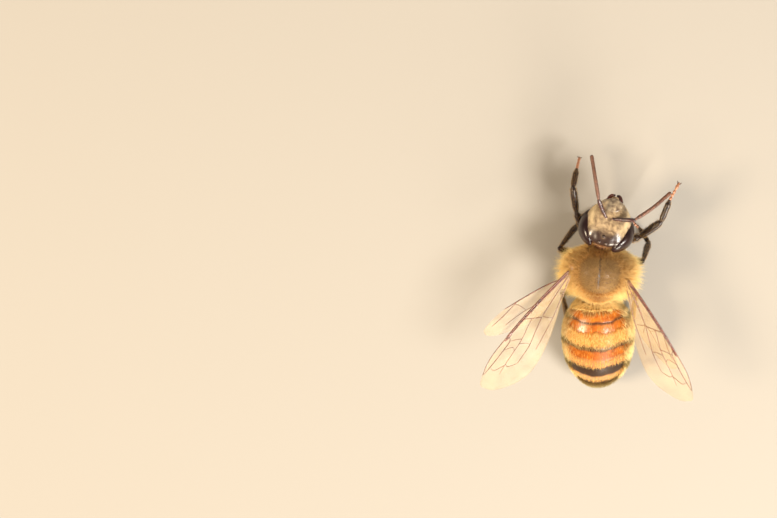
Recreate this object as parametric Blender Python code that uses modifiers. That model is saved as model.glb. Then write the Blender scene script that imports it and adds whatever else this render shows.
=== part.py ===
"""A worker honey bee at life size, standing on its middle and hind feet with its forelegs raised.

The bee faces -Y, its left side is +X and the floor is z = 0. Lengths are in millimetres until the
last step of each maker, which writes metres. Bodies that carry a coat are drawn out to its tips.
"""
import math

import bmesh
import bpy
from mathutils import Matrix, Vector

MM = 0.001
PIECE_GAP = 0.05      # air between neighbouring pieces
WELD = 1e-7           # metres, well under the smallest detail
THINNEST = 0.25       # half of the least thickness of wings, feelers and feet

# Colour and roughness of each kind of part
FINISHES = {
    "thorax": ((0.55, 0.37, 0.17), 0.9),
    "head": ((0.42, 0.34, 0.24), 0.7),
    "eye": ((0.035, 0.013, 0.012), 0.2),
    "mandible": ((0.09, 0.04, 0.02), 0.35),
    "proboscis": ((0.22, 0.09, 0.03), 0.4),
    "neck": ((0.05, 0.03, 0.02), 0.5),
    "scape": ((0.07, 0.045, 0.04), 0.35),
    "flagellum": ((0.2, 0.1, 0.05), 0.5),
    "abdomen_1": ((0.6, 0.3, 0.1), 0.6),
    "abdomen_2": ((0.72, 0.3, 0.06), 0.4),
    "abdomen_3": ((0.72, 0.3, 0.06), 0.35),
    "abdomen_4": ((0.6, 0.25, 0.07), 0.35),
    "abdomen_5": ((0.2, 0.11, 0.05), 0.35),
    "abdomen_6": ((0.42, 0.28, 0.13), 0.45),
    "wing": ((0.75, 0.5, 0.3), 0.3),
    "tarsus": ((0.35, 0.17, 0.08), 0.45),
    "leg": ((0.05, 0.03, 0.02), 0.4),
}

# Trunk
THORAX_CENTRE = Vector((0.0, 0.0, 4.1))
THORAX_HALF = Vector((2.8, 2.35, 2.4))     # half width, length and height, coat included
THORAX_PITCH = math.radians(12)            # front end raised
THORAX_YAW = math.radians(-5)              # front end turned to the bee's right
THORAX_TAPER = 0.1                         # narrower behind, wider in front, by this share
THORAX_FLAT_BACK = 0.06                    # its back is lower than a ball's by this share

# Head: a rounded shield, its face along -Y before it is turned
HEAD_CENTRE = Vector((-0.63, -3.78, 5.0))
HEAD_HALF_WIDTH = 1.62
HEAD_HALF_DEPTH = 1.0
HEAD_TOP, HEAD_CHIN = 1.88, 1.75           # from the centre up to the crown and down to the lip
HEAD_RAISE = math.radians(-52)             # the face looks up by this much
HEAD_TILT = math.radians(-16)              # and leans to the bee's right, about the line of sight
SIGHT_LINE = Vector((0, -math.sin(math.radians(15)), math.cos(math.radians(15))))
HEAD_SQUARENESS = 0.62                     # below 1, the face stays broad before it turns back
CROWN_SQUARENESS = 0.82                    # and the crown stays broad too
CHIN_NARROWING, CHIN_CURVE = 0.42, 1.3     # how much narrower the lip is, and how late that starts
CROWN_THINNING = 0.25                      # the crown is thinner from front to back by this share
FACE_BULGE, BULGE_PLACE, BULGE_REACH = 0.18, -0.55, 0.35    # the swelling of the lower face
EYE_PLACE = Vector((1.36, 0.32, 0.62))     # left eye, in the head's own axes
EYE_HALF = Vector((0.54, 0.8, 1.27))
EYE_CURL = 0.55                            # how far the eyes' upper ends curl towards each other
MANDIBLE_PATH = ((0.36, -0.1, -1.0), (0.4, -0.42, -1.47), (0.36, -0.54, -1.66), (0.24, -0.6, -1.77))
MANDIBLE_RADII = (0.24, 0.23, 0.21, 0.17)
TONGUE_PATH = ((0, 0.25, -1.62), (0, 0.75, -1.35), (0, 1.05, -0.8), (0, 1.12, -0.3))
TONGUE_RADII = (0.34, 0.36, 0.32, THINNEST)
NECK_ROOT = Vector((0.1, -1.2, 4.3))
NECK_END = Vector((0, 0, 0.2))             # inside the head, in its axes
NECK_HALF_WIDTH = 0.5

# Abdomen: a turned body that droops along an arc, cut into its six visible segments
WAIST = Vector((0.16, 2.02, 3.25))
ABDOMEN_LENGTH = 7.2
ABDOMEN_HALF_WIDTH = 2.62
ABDOMEN_WIDEST = 2.6                       # along its axis, from the waist
ABDOMEN_FLATNESS = 0.8                    # height over width
ABDOMEN_DROOP = math.radians(5)            # downward turn for each millimetre of length
SEGMENT_ENDS = (0.0, 0.4, 1.1, 2.85, 4.4, 5.6, ABDOMEN_LENGTH)
SEGMENT_FLARE = 0.035                      # each plate is wider at its rear edge by this share
ABDOMEN_FULLNESS, ABDOMEN_BLUNTNESS = 2.2, 0.55    # powers of its outline, as in a superellipse
WAIST_REACH = 0.15                         # its outline would close this far ahead of the waist
TAIL_ROUNDING = (0.24, 0.08)               # distances from the tail where its end is rounded

# Wings: hinge, tip and how far the trailing edge is turned down
FOREWING_WIDTH, HINDWING_WIDTH = 3.0, 1.8
HINDWING_LENGTH = 6.5
# Outlines as shares of length and width from the hinge, and how far back the tip is set
FOREWING_OUTLINE = ((0.0, -0.04), (0.3, -0.06), (0.6, -0.04), (0.84, 0.07), (1.0, 0.36), (0.96, 0.64),
                    (0.82, 0.93), (0.66, 0.97), (0.42, 0.72), (0.2, 0.38), (0.0, 0.12))
HINDWING_OUTLINE = ((0.0, -0.08), (0.32, -0.1), (0.62, -0.04), (0.86, 0.14), (1.0, 0.48), (0.9, 0.78),
                    (0.68, 0.94), (0.44, 0.9), (0.2, 0.6), (0.0, 0.2))
FOREWING_SET_BACK, HINDWING_SET_BACK = 0.3, 0.48
WING_LAYERS = 2 * THINNEST + 2 * PIECE_GAP   # from the middle of a forewing to its hindwing's
WINGS = {
    "left": (Vector((2.1, -0.4, 5.3)), Vector((8.16, 7.5, 6.1)), 12),
    "right": (Vector((-1.95, 0.22, 5.3)), Vector((-6.4, 8.9, 4.8)), 28),
}
# Each hindwing lies under its forewing: how far it is swung forward there, and where it starts
HINDWING_SWING = {"left": (18, Vector((0.7, 0.2, 0))), "right": (0, Vector((0.9, 0.45, 0)))}

# Legs: each joint from the hip outwards, then the foot, for the bee's left and right sides
LEG_JOINTS = {
    "foreleg_left": [
        (0.55, -1.4, 2.7), (1.55, -4.0, 3.45), (1.78, -5.85, 3.75),
        (1.52, -6.95, 3.0), (1.36, -7.5, 1.95),
    ],
    "foreleg_right": [
        (-0.55, -1.4, 2.7), (-2.72, -2.37, 3.6), (-4.15, -3.56, 4.1),
        (-4.69, -5.0, 4.1), (-5.3, -6.05, 3.7),
    ],
    "midleg_left": [
        (0.85, -0.1, 2.3), (2.79, -1.35, 2.7), (1.5, -2.65, 1.15),
        (0.95, -3.2, 0.36), (0.1, -3.7, 0.23),
    ],
    "midleg_right": [
        (-0.85, 0.0, 2.3), (-3.0, -0.46, 2.8), (-3.4, -1.33, 1.05),
        (-2.75, -2.15, 0.36), (-1.95, -2.9, 0.23),
    ],
    "hindleg_left": [
        (0.85, 1.1, 2.4), (2.62, 1.95, 2.2), (2.1, 4.5, 0.85),
        (1.98, 6.25, 0.36), (1.82, 7.45, 0.23),
    ],
    "hindleg_right": [
        (-0.85, 1.1, 2.4), (-2.55, 2.1, 2.2), (-2.15, 4.6, 0.85),
        (-2.05, 6.35, 0.36), (-1.92, 7.55, 0.23),
    ],
}

# Radii of each stretch of a leg, at shares of its length
LEG_STATIONS = (0.0, 0.3, 0.65, 1.0)
LEG_RADII = {
    "femur": (0.26, 0.31, 0.33, 0.26),
    "tibia": (0.25, 0.27, 0.3, 0.27),
    "basitarsus": (0.26, 0.27, 0.27, 0.26),
    "tarsus": (THINNEST, THINNEST, THINNEST, THINNEST),
}
PADDLE_BREADTH = 1.8                       # the hind shins are broad and flat by this factor
PADDLE_LEAN = 0.35                         # and their flat sides face out and this much up
# How far each limb is drawn past its joints before its ends are cut there
LIMB_OVERRUN = 0.35

# Feelers: the socket is in the head's axes, the elbows and tips are in the bee's
SOCKET = Vector((0.31, -0.9, 0.12))
FEELERS = {
    "left": (Vector((0.03, -5.47, 6.05)), Vector((0.48, -8.31, 5.3))),
    "right": (Vector((-2.3, -4.15, 6.15)), Vector((-4.63, -5.76, 5.2))),
}
FEELER_ARCH = Vector((0, 0, 0.22))         # how far the middle of each whip stands above its chord
WHIP_RADIUS = 0.26                         # the whip is a little thicker than the stem


# ---------------------------------------------------------------- helpers

def clear_scene():
    for old in list(bpy.data.objects):
        bpy.data.objects.remove(old)


def own_material(name):
    """A material for one object, with the colour and roughness of its kind of part."""
    kind = next(key for key in FINISHES if key in name)
    colour, roughness = FINISHES[kind]
    material = bpy.data.materials.new(name)
    material.use_nodes = True
    shader = material.node_tree.nodes["Principled BSDF"]
    shader.inputs["Base Color"].default_value = (*colour, 1.0)
    shader.inputs["Roughness"].default_value = roughness
    shader.inputs["Metallic"].default_value = 0.0
    return material


def solid_from(name, bm):
    """A finished mesh object of that name, shaded smooth, and bm is freed."""
    mesh = bpy.data.meshes.new(name)
    bmesh.ops.recalc_face_normals(bm, faces=bm.faces)
    bm.to_mesh(mesh)
    bm.free()
    mesh.shade_smooth()
    mesh.set_sharp_from_angle(angle=math.radians(45))
    return bpy.data.objects.new(name, mesh)


def part_of_bee(name, bm):
    obj = solid_from(name, bm)
    bee.objects.link(obj)
    obj.data.materials.append(own_material(name))
    return obj


def ball(segments, rings):
    bm = bmesh.new()
    bmesh.ops.create_uvsphere(bm, u_segments=segments, v_segments=rings, radius=1.0)
    return bm


def shaped(bm, shape):
    """Moves every corner of bm to where shape puts it, from millimetres to metres."""
    for vertex in bm.verts:
        vertex.co = shape(vertex.co.copy()) * MM
    return bm


def sliced(bm, point, outward):
    """Cuts off what lies beyond the plane and closes the cut."""
    everything = bm.verts[:] + bm.edges[:] + bm.faces[:]
    bmesh.ops.bisect_plane(
        bm, geom=everything, dist=WELD, plane_co=point * MM, plane_no=outward, clear_outer=True
    )
    rim = [edge for edge in bm.edges if edge.is_boundary]
    bmesh.ops.holes_fill(bm, edges=rim)


def evaluated_bmesh(obj):
    """The object's mesh with its modifiers, in world space, welded."""
    graph = bpy.context.evaluated_depsgraph_get()
    mesh = bpy.data.meshes.new_from_object(obj.evaluated_get(graph))
    bm = bmesh.new()
    bm.from_mesh(mesh)
    bmesh.ops.transform(bm, matrix=obj.matrix_world, verts=bm.verts)
    bmesh.ops.remove_doubles(bm, verts=bm.verts, dist=WELD)
    bpy.data.meshes.remove(mesh)
    return bm


def taken(obj):
    """As evaluated_bmesh, and the object itself is removed."""
    bm = evaluated_bmesh(obj)
    bpy.data.objects.remove(obj)
    return bm


def cut_away(obj, cutter):
    """A live Boolean that keeps obj clear of the cutter."""
    boolean = obj.modifiers.new("clear_of_" + cutter.name, "BOOLEAN")
    boolean.operation = "DIFFERENCE"
    boolean.solver = "EXACT"
    boolean.object = cutter


def cutter_of(name, bm):
    """A hidden helper solid in the cutters' collection."""
    cutter = solid_from(name, bm)
    cutters.objects.link(cutter)
    cutter.hide_render = True
    cutter.display_type = "WIRE"
    return cutter


def tube(points, radii, sides=2):
    """A round limb through points, with a radius at each, as a welded bmesh."""
    curve = bpy.data.curves.new("limb", "CURVE")
    curve.dimensions = "3D"
    curve.bevel_depth = MM
    curve.bevel_resolution = sides
    curve.use_fill_caps = True
    spline = curve.splines.new("POLY")
    spline.points.add(len(points) - 1)
    for point, place, radius in zip(spline.points, points, radii):
        point.co = (*(Vector(place) * MM), 1.0)
        point.radius = radius
    obj = bpy.data.objects.new("limb", curve)
    cutters.objects.link(obj)
    bpy.context.view_layer.update()
    return taken(obj)


def mitre(before, joint, after):
    """The direction across which two limbs meet at a joint."""
    return ((joint - before).normalized() + (after - joint).normalized()).normalized()


# ---------------------------------------------------------------- trunk

def thorax_matrix():
    return Matrix.Rotation(THORAX_YAW, 3, "Z") @ Matrix.Rotation(-THORAX_PITCH, 3, "X")


def thorax_shape(grown=0.0):
    """An egg with its wide end forward and a flatter back, grown by a margin."""
    turn = thorax_matrix()
    half = THORAX_HALF + Vector((grown, grown, grown))

    def place(unit):
        taper = 1.0 - THORAX_TAPER * unit.y
        flat_top = 1.0 - THORAX_FLAT_BACK * max(unit.z, 0.0)
        egg = Vector((unit.x * half.x * taper, unit.y * half.y, unit.z * half.z * taper * flat_top))
        return THORAX_CENTRE + turn @ egg

    return place


def make_thorax():
    cutter_of("thorax_room", shaped(ball(28, 20), thorax_shape(PIECE_GAP)))
    part_of_bee("thorax", shaped(ball(24, 16), thorax_shape()))


# ---------------------------------------------------------------- head

def head_matrix():
    raised = Matrix.Rotation(HEAD_RAISE, 3, "X")
    return Matrix.Rotation(HEAD_TILT, 3, SIGHT_LINE) @ raised


def in_head(local):
    return HEAD_CENTRE + head_matrix() @ local


def head_shape(grown=0.0):
    """A shield: broad at the crown, narrowing to the lip, with a bulging lower face."""

    def place(unit):
        narrowing = 1.0 - CHIN_NARROWING * max(-unit.z, 0.0) ** CHIN_CURVE
        width = math.copysign(abs(unit.x) ** HEAD_SQUARENESS, unit.x) * HEAD_HALF_WIDTH * narrowing
        height = HEAD_TOP * unit.z ** CROWN_SQUARENESS if unit.z > 0 else HEAD_CHIN * unit.z
        depth = HEAD_HALF_DEPTH * (1.0 - CROWN_THINNING * max(unit.z, 0.0))
        swelling = math.exp(-((unit.z - BULGE_PLACE) / BULGE_REACH) ** 2)
        bulge = -FACE_BULGE * swelling * max(-unit.y, 0.0)
        local = Vector((width, unit.y * depth + bulge, height))
        return in_head(local + local.normalized() * grown)

    return place


def eye_shape(side, grown=0.0):
    """A tall oval whose upper end curls over the crown."""
    half = EYE_HALF + Vector((grown, grown, grown))
    centre = Vector((side * EYE_PLACE.x, EYE_PLACE.y, EYE_PLACE.z))

    def place(unit):
        curl = Vector((-side * EYE_CURL * max(unit.z, 0.0) ** 2, 0, 0))
        return in_head(centre + curl + Vector((unit.x * half.x, unit.y * half.y, unit.z * half.z)))

    return place


def make_head():
    head = part_of_bee("head", shaped(ball(24, 18), head_shape()))
    cutter_of("head_room", shaped(ball(28, 20), head_shape(PIECE_GAP)))
    for side, word in SIDES:
        room = cutter_of("eye_room_" + word, shaped(ball(20, 14), eye_shape(side, PIECE_GAP)))
        cut_away(head, room)
        part_of_bee("eye_" + word, shaped(ball(16, 12), eye_shape(side)))


def make_mandibles():
    for side, word in SIDES:
        points = [in_head(Vector((side * x, y, z))) for x, y, z in MANDIBLE_PATH]
        bm = tube(points, MANDIBLE_RADII)
        cut_away(part_of_bee("mandible_" + word, bm), bpy.data.objects["head_room"])


def make_proboscis():
    """The folded tongue, lying along the underside of the head."""
    points = [in_head(Vector(place)) for place in TONGUE_PATH]
    bm = tube(points, TONGUE_RADII)
    cut_away(part_of_bee("proboscis", bm), bpy.data.objects["head_room"])


def make_neck():
    bm = tube([NECK_ROOT, in_head(NECK_END)], (NECK_HALF_WIDTH, NECK_HALF_WIDTH), 3)
    neck = part_of_bee("neck", bm)
    for room in ("thorax_room", "head_room"):
        cut_away(neck, bpy.data.objects[room])


def make_feelers():
    for side, word in SIDES:
        elbow, tip = FEELERS[word]
        socket = in_head(Vector((side * SOCKET.x, SOCKET.y, SOCKET.z)))
        across = mitre(socket, elbow, tip)
        gap = across * PIECE_GAP / 2
        along = (elbow - socket).normalized() * LIMB_OVERRUN
        stem = tube([socket - along, socket, elbow + along], (THINNEST, THINNEST, WHIP_RADIUS))
        sliced(stem, elbow - gap, across)
        scape = part_of_bee("scape_" + word, stem)
        cut_away(scape, bpy.data.objects["head_room"])
        middle = (elbow + tip) / 2 + FEELER_ARCH
        before = elbow - (middle - elbow).normalized() * LIMB_OVERRUN
        near, far = ((end + middle) / 2 + FEELER_ARCH / 3 for end in (elbow, tip))
        radii = (THINNEST, THINNEST, WHIP_RADIUS, WHIP_RADIUS, WHIP_RADIUS, THINNEST)
        whip = tube([before, elbow, near, middle, far, tip], radii)
        sliced(whip, elbow + gap, -across)
        part_of_bee("flagellum_" + word, whip)


# ---------------------------------------------------------------- abdomen

def abdomen_half_width(along):
    """Half width of the abdomen at a distance from the waist, with each plate's flare."""
    ahead = along < ABDOMEN_WIDEST
    reach = ABDOMEN_WIDEST + WAIST_REACH if ahead else ABDOMEN_LENGTH - ABDOMEN_WIDEST
    share = min(abs(along - ABDOMEN_WIDEST) / reach, 1.0)
    plain = ABDOMEN_HALF_WIDTH * (1.0 - share ** ABDOMEN_FULLNESS) ** ABDOMEN_BLUNTNESS
    start, end = next((a, b) for a, b in zip(SEGMENT_ENDS, SEGMENT_ENDS[1:]) if along <= b)
    return plain * (1.0 + SEGMENT_FLARE * ((along - start) / (end - start) - 0.5))


def abdomen_axis(along):
    """Point and direction of the drooping axis at a distance from the waist."""
    angle = ABDOMEN_DROOP * along
    out = math.sin(angle) / ABDOMEN_DROOP
    down = (1.0 - math.cos(angle)) / ABDOMEN_DROOP
    point = WAIST + Vector((0, out, -down))
    return point, Vector((0, math.cos(angle), -math.sin(angle)))


def bent(turned):
    """From the turned body, whose axis is -Z, to the drooping abdomen."""
    point, direction = abdomen_axis(-turned.z)
    upward = Vector((1, 0, 0)).cross(direction)
    return point + Vector((turned.x, 0, 0)) + upward * turned.y * ABDOMEN_FLATNESS


def turned_abdomen():
    """The whole abdomen, turned about Z from a profile with a step at each plate's edge."""
    stations = [0.0, 0.2]
    for start, end in zip(SEGMENT_ENDS[1:-1], SEGMENT_ENDS[2:]):
        stations += [start, start + 0.03] + [start + (end - start) * share for share in (0.35, 0.7)]
    stations += [ABDOMEN_LENGTH - distance for distance in TAIL_ROUNDING] + [ABDOMEN_LENGTH]
    profile = [(0.0, 0.0)] + [(abdomen_half_width(s), s) for s in stations[:-1]]
    profile += [(0.0, ABDOMEN_LENGTH)]
    bm = bmesh.new()
    line = [bm.verts.new((width * MM, 0, -along * MM)) for width, along in profile]
    for a, b in zip(line, line[1:]):
        bm.edges.new((a, b))
    mesh = bpy.data.meshes.new("abdomen_profile")
    bm.to_mesh(mesh)
    bm.free()
    obj = bpy.data.objects.new("abdomen_profile", mesh)
    cutters.objects.link(obj)
    screw = obj.modifiers.new("turn", "SCREW")
    screw.axis = "Z"
    screw.steps = screw.render_steps = 24
    screw.use_merge_vertices = True
    screw.merge_threshold = WELD
    bpy.context.view_layer.update()
    whole = taken(obj)
    for vertex in whole.verts:
        vertex.co = bent(vertex.co / MM) * MM
    bmesh.ops.recalc_face_normals(whole, faces=whole.faces)
    return whole


def make_abdomen():
    whole = turned_abdomen()
    for number, (start, end) in enumerate(zip(SEGMENT_ENDS, SEGMENT_ENDS[1:]), 1):
        ring = whole.copy()
        if number > 1:
            point, direction = abdomen_axis(start)
            sliced(ring, point + direction * PIECE_GAP / 2, -direction)
        if number < len(SEGMENT_ENDS) - 1:
            point, direction = abdomen_axis(end)
            sliced(ring, point - direction * PIECE_GAP / 2, direction)
        plate = part_of_bee(f"abdomen_{number}", ring)
        if number <= 2:
            cut_away(plate, bpy.data.objects["thorax_room"])
    whole.free()


# ---------------------------------------------------------------- wings

def wing_outline(length, width, fore):
    """Corners of a wing's outline: x from hinge to tip, y back from the line that joins them."""
    shares = FOREWING_OUTLINE if fore else HINDWING_OUTLINE
    set_back = FOREWING_SET_BACK if fore else HINDWING_SET_BACK
    return [Vector((x * length, (y - set_back * x) * width, 0)) for x, y in shares]


def wing_matrix(hinge, tip, turn_down):
    """Axes of a wing: along it, back across it, and out of its upper face."""
    along = (tip - hinge).normalized()
    up = (Vector((0, 0, 1)) - along * along.z).normalized()
    side = 1 if tip.x > 0 else -1
    back = up.cross(along) * side
    turned = Matrix.Rotation(-side * math.radians(turn_down), 3, along)
    axes = Matrix((along, turned @ back, turned @ up)).transposed()
    return Matrix.Translation(hinge * MM) @ axes.to_4x4()


def wing_blank(name, matrix, length, width, fore):
    """A flat wing of the outline's shape, cut clear of the thorax."""
    curve = bpy.data.curves.new(name, "CURVE")
    curve.dimensions = "2D"
    curve.fill_mode = "BOTH"
    curve.extrude = THINNEST * MM
    curve.resolution_u = 3
    spline = curve.splines.new("BEZIER")
    outline = wing_outline(length, width, fore)
    spline.bezier_points.add(len(outline) - 1)
    for point, place in zip(spline.bezier_points, outline):
        point.co = place * MM
        point.handle_left_type = point.handle_right_type = "AUTO"
    spline.use_cyclic_u = True
    flat = bpy.data.objects.new(name + "_flat", curve)
    flat.matrix_world = matrix
    cutters.objects.link(flat)
    bpy.context.view_layer.update()
    cut_away(part_of_bee(name, taken(flat)), bpy.data.objects["thorax_room"])


def make_wings():
    for side, word in SIDES:
        hinge, tip, turn_down = WINGS[word]
        frame = wing_matrix(hinge, tip, turn_down)
        wing_blank("forewing_" + word, frame, (tip - hinge).length, FOREWING_WIDTH, True)
        swing, start = HINDWING_SWING[word]
        beneath = Matrix.Translation((start - Vector((0, 0, WING_LAYERS))) * MM)
        swung = Matrix.Rotation(-math.radians(swing), 4, "Z")
        wing_blank("hindwing_" + word, frame @ beneath @ swung, HINDWING_LENGTH, HINDWING_WIDTH, False)


# ---------------------------------------------------------------- legs

def flattened(bm, start, end, flat_side, share):
    """Squeezes a limb towards the plane through its axis, so that it is broad and thin."""
    axis = (end - start).normalized()
    normal = (flat_side - axis * flat_side.dot(axis)).normalized()
    for vertex in bm.verts:
        height = (vertex.co - start * MM).dot(normal)
        vertex.co -= normal * height * (1.0 - share)


def limb_piece(joints, index, radii, broad=1.0):
    """One stretch of a leg, from joints[index] to the next, mitred to its neighbours."""
    start, end = joints[index], joints[index + 1]
    axis = (end - start).normalized()
    stations = [-LIMB_OVERRUN] + [(end - start).length * share for share in LEG_STATIONS]
    last = index + 2 == len(joints)
    sizes = [radii[0], *radii]
    if not last:
        stations.append((end - start).length + LIMB_OVERRUN)
        sizes.append(radii[3])
    bm = tube([start + axis * s for s in stations], [r * broad for r in sizes])
    if broad > 1.0:
        outward = Vector((math.copysign(1.0, start.x), 0, PADDLE_LEAN))
        flattened(bm, start, end, outward, 1.0 / broad)
    if index > 0:
        across = mitre(joints[index - 1], start, end)
        sliced(bm, start + across * PIECE_GAP / 2, -across)
    if not last:
        across = mitre(start, end, joints[index + 2])
        sliced(bm, end - across * PIECE_GAP / 2, across)
    return bm


def make_legs():
    for leg, places in LEG_JOINTS.items():
        joints = [Vector(place) for place in places]
        for index, (part, radii) in enumerate(LEG_RADII.items()):
            hind_paddle = leg.startswith("hind") and part in ("tibia", "basitarsus")
            bm = limb_piece(joints, index, radii, PADDLE_BREADTH if hind_paddle else 1.0)
            lowest = min(vertex.co.z for vertex in bm.verts)
            if lowest < 0.0:
                sliced(bm, Vector((0, 0, 0)), Vector((0, 0, -1)))
            piece = part_of_bee(f"{leg}_{part}", bm)
            if part == "femur":
                cut_away(piece, bpy.data.objects["thorax_room"])


# ---------------------------------------------------------------- whole

def stand_at_origin():
    """Puts the middle of the bee's footprint box over the origin, feet on the floor."""
    bpy.context.view_layer.update()
    graph = bpy.context.evaluated_depsgraph_get()
    corners = []
    for obj in bee.objects:
        mesh = obj.evaluated_get(graph).to_mesh()
        corners += [vertex.co.copy() for vertex in mesh.vertices]
    middle_x, middle_y = ((min(c[i] for c in corners) + max(c[i] for c in corners)) / 2 for i in (0, 1))
    floor = min(c.z for c in corners)
    for obj in list(bee.objects) + list(cutters.objects):
        obj.location = (-middle_x, -middle_y, -floor)


clear_scene()
SIDES = ((1, "left"), (-1, "right"))
bee = bpy.data.collections.new("honey_bee")
cutters = bpy.data.collections.new("cutters")
for group in (bee, cutters):
    bpy.context.scene.collection.children.link(group)

make_thorax()
make_head()
make_mandibles()
make_proboscis()
make_neck()
make_feelers()
make_abdomen()
make_wings()
make_legs()
stand_at_origin()
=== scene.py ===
# %% [markdown]
# # A worker honey bee at life size
# This lesson dresses the plain solids of a standing honey bee. Each step makes one part of the
# animal: its shell, eyes, mouth, feelers, banded abdomen, legs and wings, and last of all the hair.
# The solids, called the frame, already fix every size and place. They reach out to the tips of the
# hair, so each shell made here lies a little inside its solid, and the hair grows out to fill it.

import math

import bpy
import numpy as np
from mathutils.kdtree import KDTree
from mathutils import Matrix, Vector


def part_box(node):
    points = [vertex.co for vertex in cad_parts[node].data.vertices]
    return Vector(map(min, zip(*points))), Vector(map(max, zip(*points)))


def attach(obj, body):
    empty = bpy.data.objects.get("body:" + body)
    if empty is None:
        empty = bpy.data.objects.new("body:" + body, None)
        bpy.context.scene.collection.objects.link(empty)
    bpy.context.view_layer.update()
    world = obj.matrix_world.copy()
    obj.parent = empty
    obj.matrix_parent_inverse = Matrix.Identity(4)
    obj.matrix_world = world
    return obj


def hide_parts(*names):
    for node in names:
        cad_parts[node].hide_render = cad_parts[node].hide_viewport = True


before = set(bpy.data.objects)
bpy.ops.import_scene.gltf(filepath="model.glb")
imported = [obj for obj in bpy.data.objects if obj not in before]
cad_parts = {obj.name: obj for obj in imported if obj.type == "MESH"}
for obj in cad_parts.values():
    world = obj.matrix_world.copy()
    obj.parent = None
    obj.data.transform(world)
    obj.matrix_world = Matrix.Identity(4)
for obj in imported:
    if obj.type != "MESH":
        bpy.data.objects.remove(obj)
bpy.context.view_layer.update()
MM = 0.001
SIDES = ((1, "left"), (-1, "right"))
UP = Vector((0, 0, 1))
print("solids:", len(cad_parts))

# %% [markdown]
# ## Reading places from the solids
# A bee is a few thin tubes and rounded boxes that meet at joints. Where two solids meet, their
# cut rims lie almost on each other, so the middle of those rims is the joint itself. Reading the
# joints this way keeps every new piece on its solid, with no numbers copied by hand.

# %% Measure the solids


def read_points(piece):
    """Every corner of a piece, one row of x, y, z for each, in metres."""
    flat = np.empty(len(piece.data.vertices) * 3, np.float32)
    piece.data.vertices.foreach_get("co", flat)
    return flat.reshape(-1, 3).astype(float)


def corners(node):
    """Every corner of a solid."""
    return read_points(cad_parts[node])


def middle(node):
    """The middle of a solid's box."""
    low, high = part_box(node)
    return (low + high) / 2


JOINT_REACH = 0.14 * MM      # corners of two solids that are this close belong to their joint
END_DEPTH = 0.06 * MM        # corners this close to the furthest one belong to the same end


def meeting(one, other):
    """The middle of the joint between two neighbouring solids."""
    first, second = corners(one), corners(other)
    apart = np.linalg.norm(first[:, None] - second[None], axis=2)
    rims = np.concatenate([first[apart.min(1) < JOINT_REACH], second[apart.min(0) < JOINT_REACH]])
    return Vector((rims.min(0) + rims.max(0)) / 2)


def far_end(node, start):
    """The middle of the end of a solid that is furthest from a point."""
    points = corners(node)
    axis = points.mean(0) - np.array(start)
    axis /= np.linalg.norm(axis)
    reach = points @ axis
    return Vector(points[reach > reach.max() - END_DEPTH].mean(0))


def own_axes(node):
    """The directions in which a solid is thinnest, broader and longest, one column for each."""
    points = corners(node)
    return np.linalg.eigh(np.cov((points - points.mean(0)).T))[1]


thorax_middle = middle("thorax")
print("thorax middle, mm:", [round(c / MM, 2) for c in thorax_middle])

# %% [markdown]
# ## Modelling helpers
# Nearly every part of an insect is a closed, rounded shell. A sphere primitive is already closed
# and evenly divided, so each shell starts as one, and a formula then carries its points to their
# places. NumPy moves all the points in one go. Long parts use the same sphere: the way from its
# south pole to its north pole becomes the way along the limb.

# %% Shape a shell from a sphere


def clear_selection():
    bpy.ops.object.select_all(action="DESELECT")


def write_points(piece, points):
    piece.data.vertices.foreach_set("co", np.ascontiguousarray(points, np.float32).ravel())
    piece.data.update()


def outward(piece):
    """Makes the faces of a closed piece point out of it."""
    bpy.context.view_layer.objects.active = piece
    bpy.ops.object.mode_set(mode="EDIT")
    bpy.ops.mesh.select_all(action="SELECT")
    bpy.ops.mesh.normals_make_consistent(inside=False)
    bpy.ops.object.mode_set(mode="OBJECT")


def mark(piece, name, values):
    """Stores one number for each point of a piece, for its material to read."""
    attribute = piece.data.attributes.new(name, "FLOAT", "POINT")
    attribute.data.foreach_set("value", np.ascontiguousarray(values, np.float32))


def shell(name, segments, rings, place, marks=()):
    """A closed piece: a sphere of radius 1 whose points are carried by place().

    Each mark is a title and a function that gives a number for every point of the sphere.
    """
    clear_selection()
    bpy.ops.mesh.primitive_uv_sphere_add(segments=segments, ring_count=rings, radius=1.0)
    piece = bpy.context.object
    piece.name = piece.data.name = name
    ball = read_points(piece)
    write_points(piece, place(ball))
    outward(piece)
    bpy.ops.object.shade_smooth()
    for title, share in marks:
        mark(piece, title, share(ball))
    return piece


def step(low, high, value):
    """0 below low, 1 above high and smooth between them."""
    share = np.clip((value - low) / (high - low), 0, 1)
    return share * share * (3 - 2 * share)


def bump(value, centre, width):
    """A round hill of height 1."""
    return np.exp(-(((value - centre) / width) ** 2))


def unit(rows):
    """Each row made one long."""
    return rows / np.maximum(np.linalg.norm(rows, axis=1), 1e-12)[:, None]


def dots(first, second):
    """The dot product of each row with the other's row, as a column."""
    return np.einsum("ij,ij->i", first, second)[:, None]


# %% [markdown]
# ## Limbs
# Legs, feelers, jaws and veins are all tubes that swell and narrow along a bent path. A curve
# object with a bevel could draw them, but a mesh made from the same sphere is closed from the
# start, can be flatter one way than the other, and takes any run of thicknesses.

# %% Shape a limb along a path


def smooth_path(points, count=48):
    """A curve through the points, evenly sampled along each stretch."""
    p = np.array([tuple(point) for point in points], float)
    if len(p) == 2:
        return p[0] + (p[1] - p[0]) * np.linspace(0, 1, count)[:, None]
    p = np.vstack([2 * p[0] - p[1], p, 2 * p[-1] - p[-2]])
    where = np.linspace(0, len(p) - 3 - 1e-9, count)
    i = where.astype(int)
    t = (where - i)[:, None]
    a, b, c, d = p[i], p[i + 1], p[i + 2], p[i + 3]
    curve = 2 * b + (c - a) * t + (2 * a - 5 * b + 4 * c - d) * t**2 + (3 * b - a - 3 * c + d) * t**3
    return curve / 2


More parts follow.
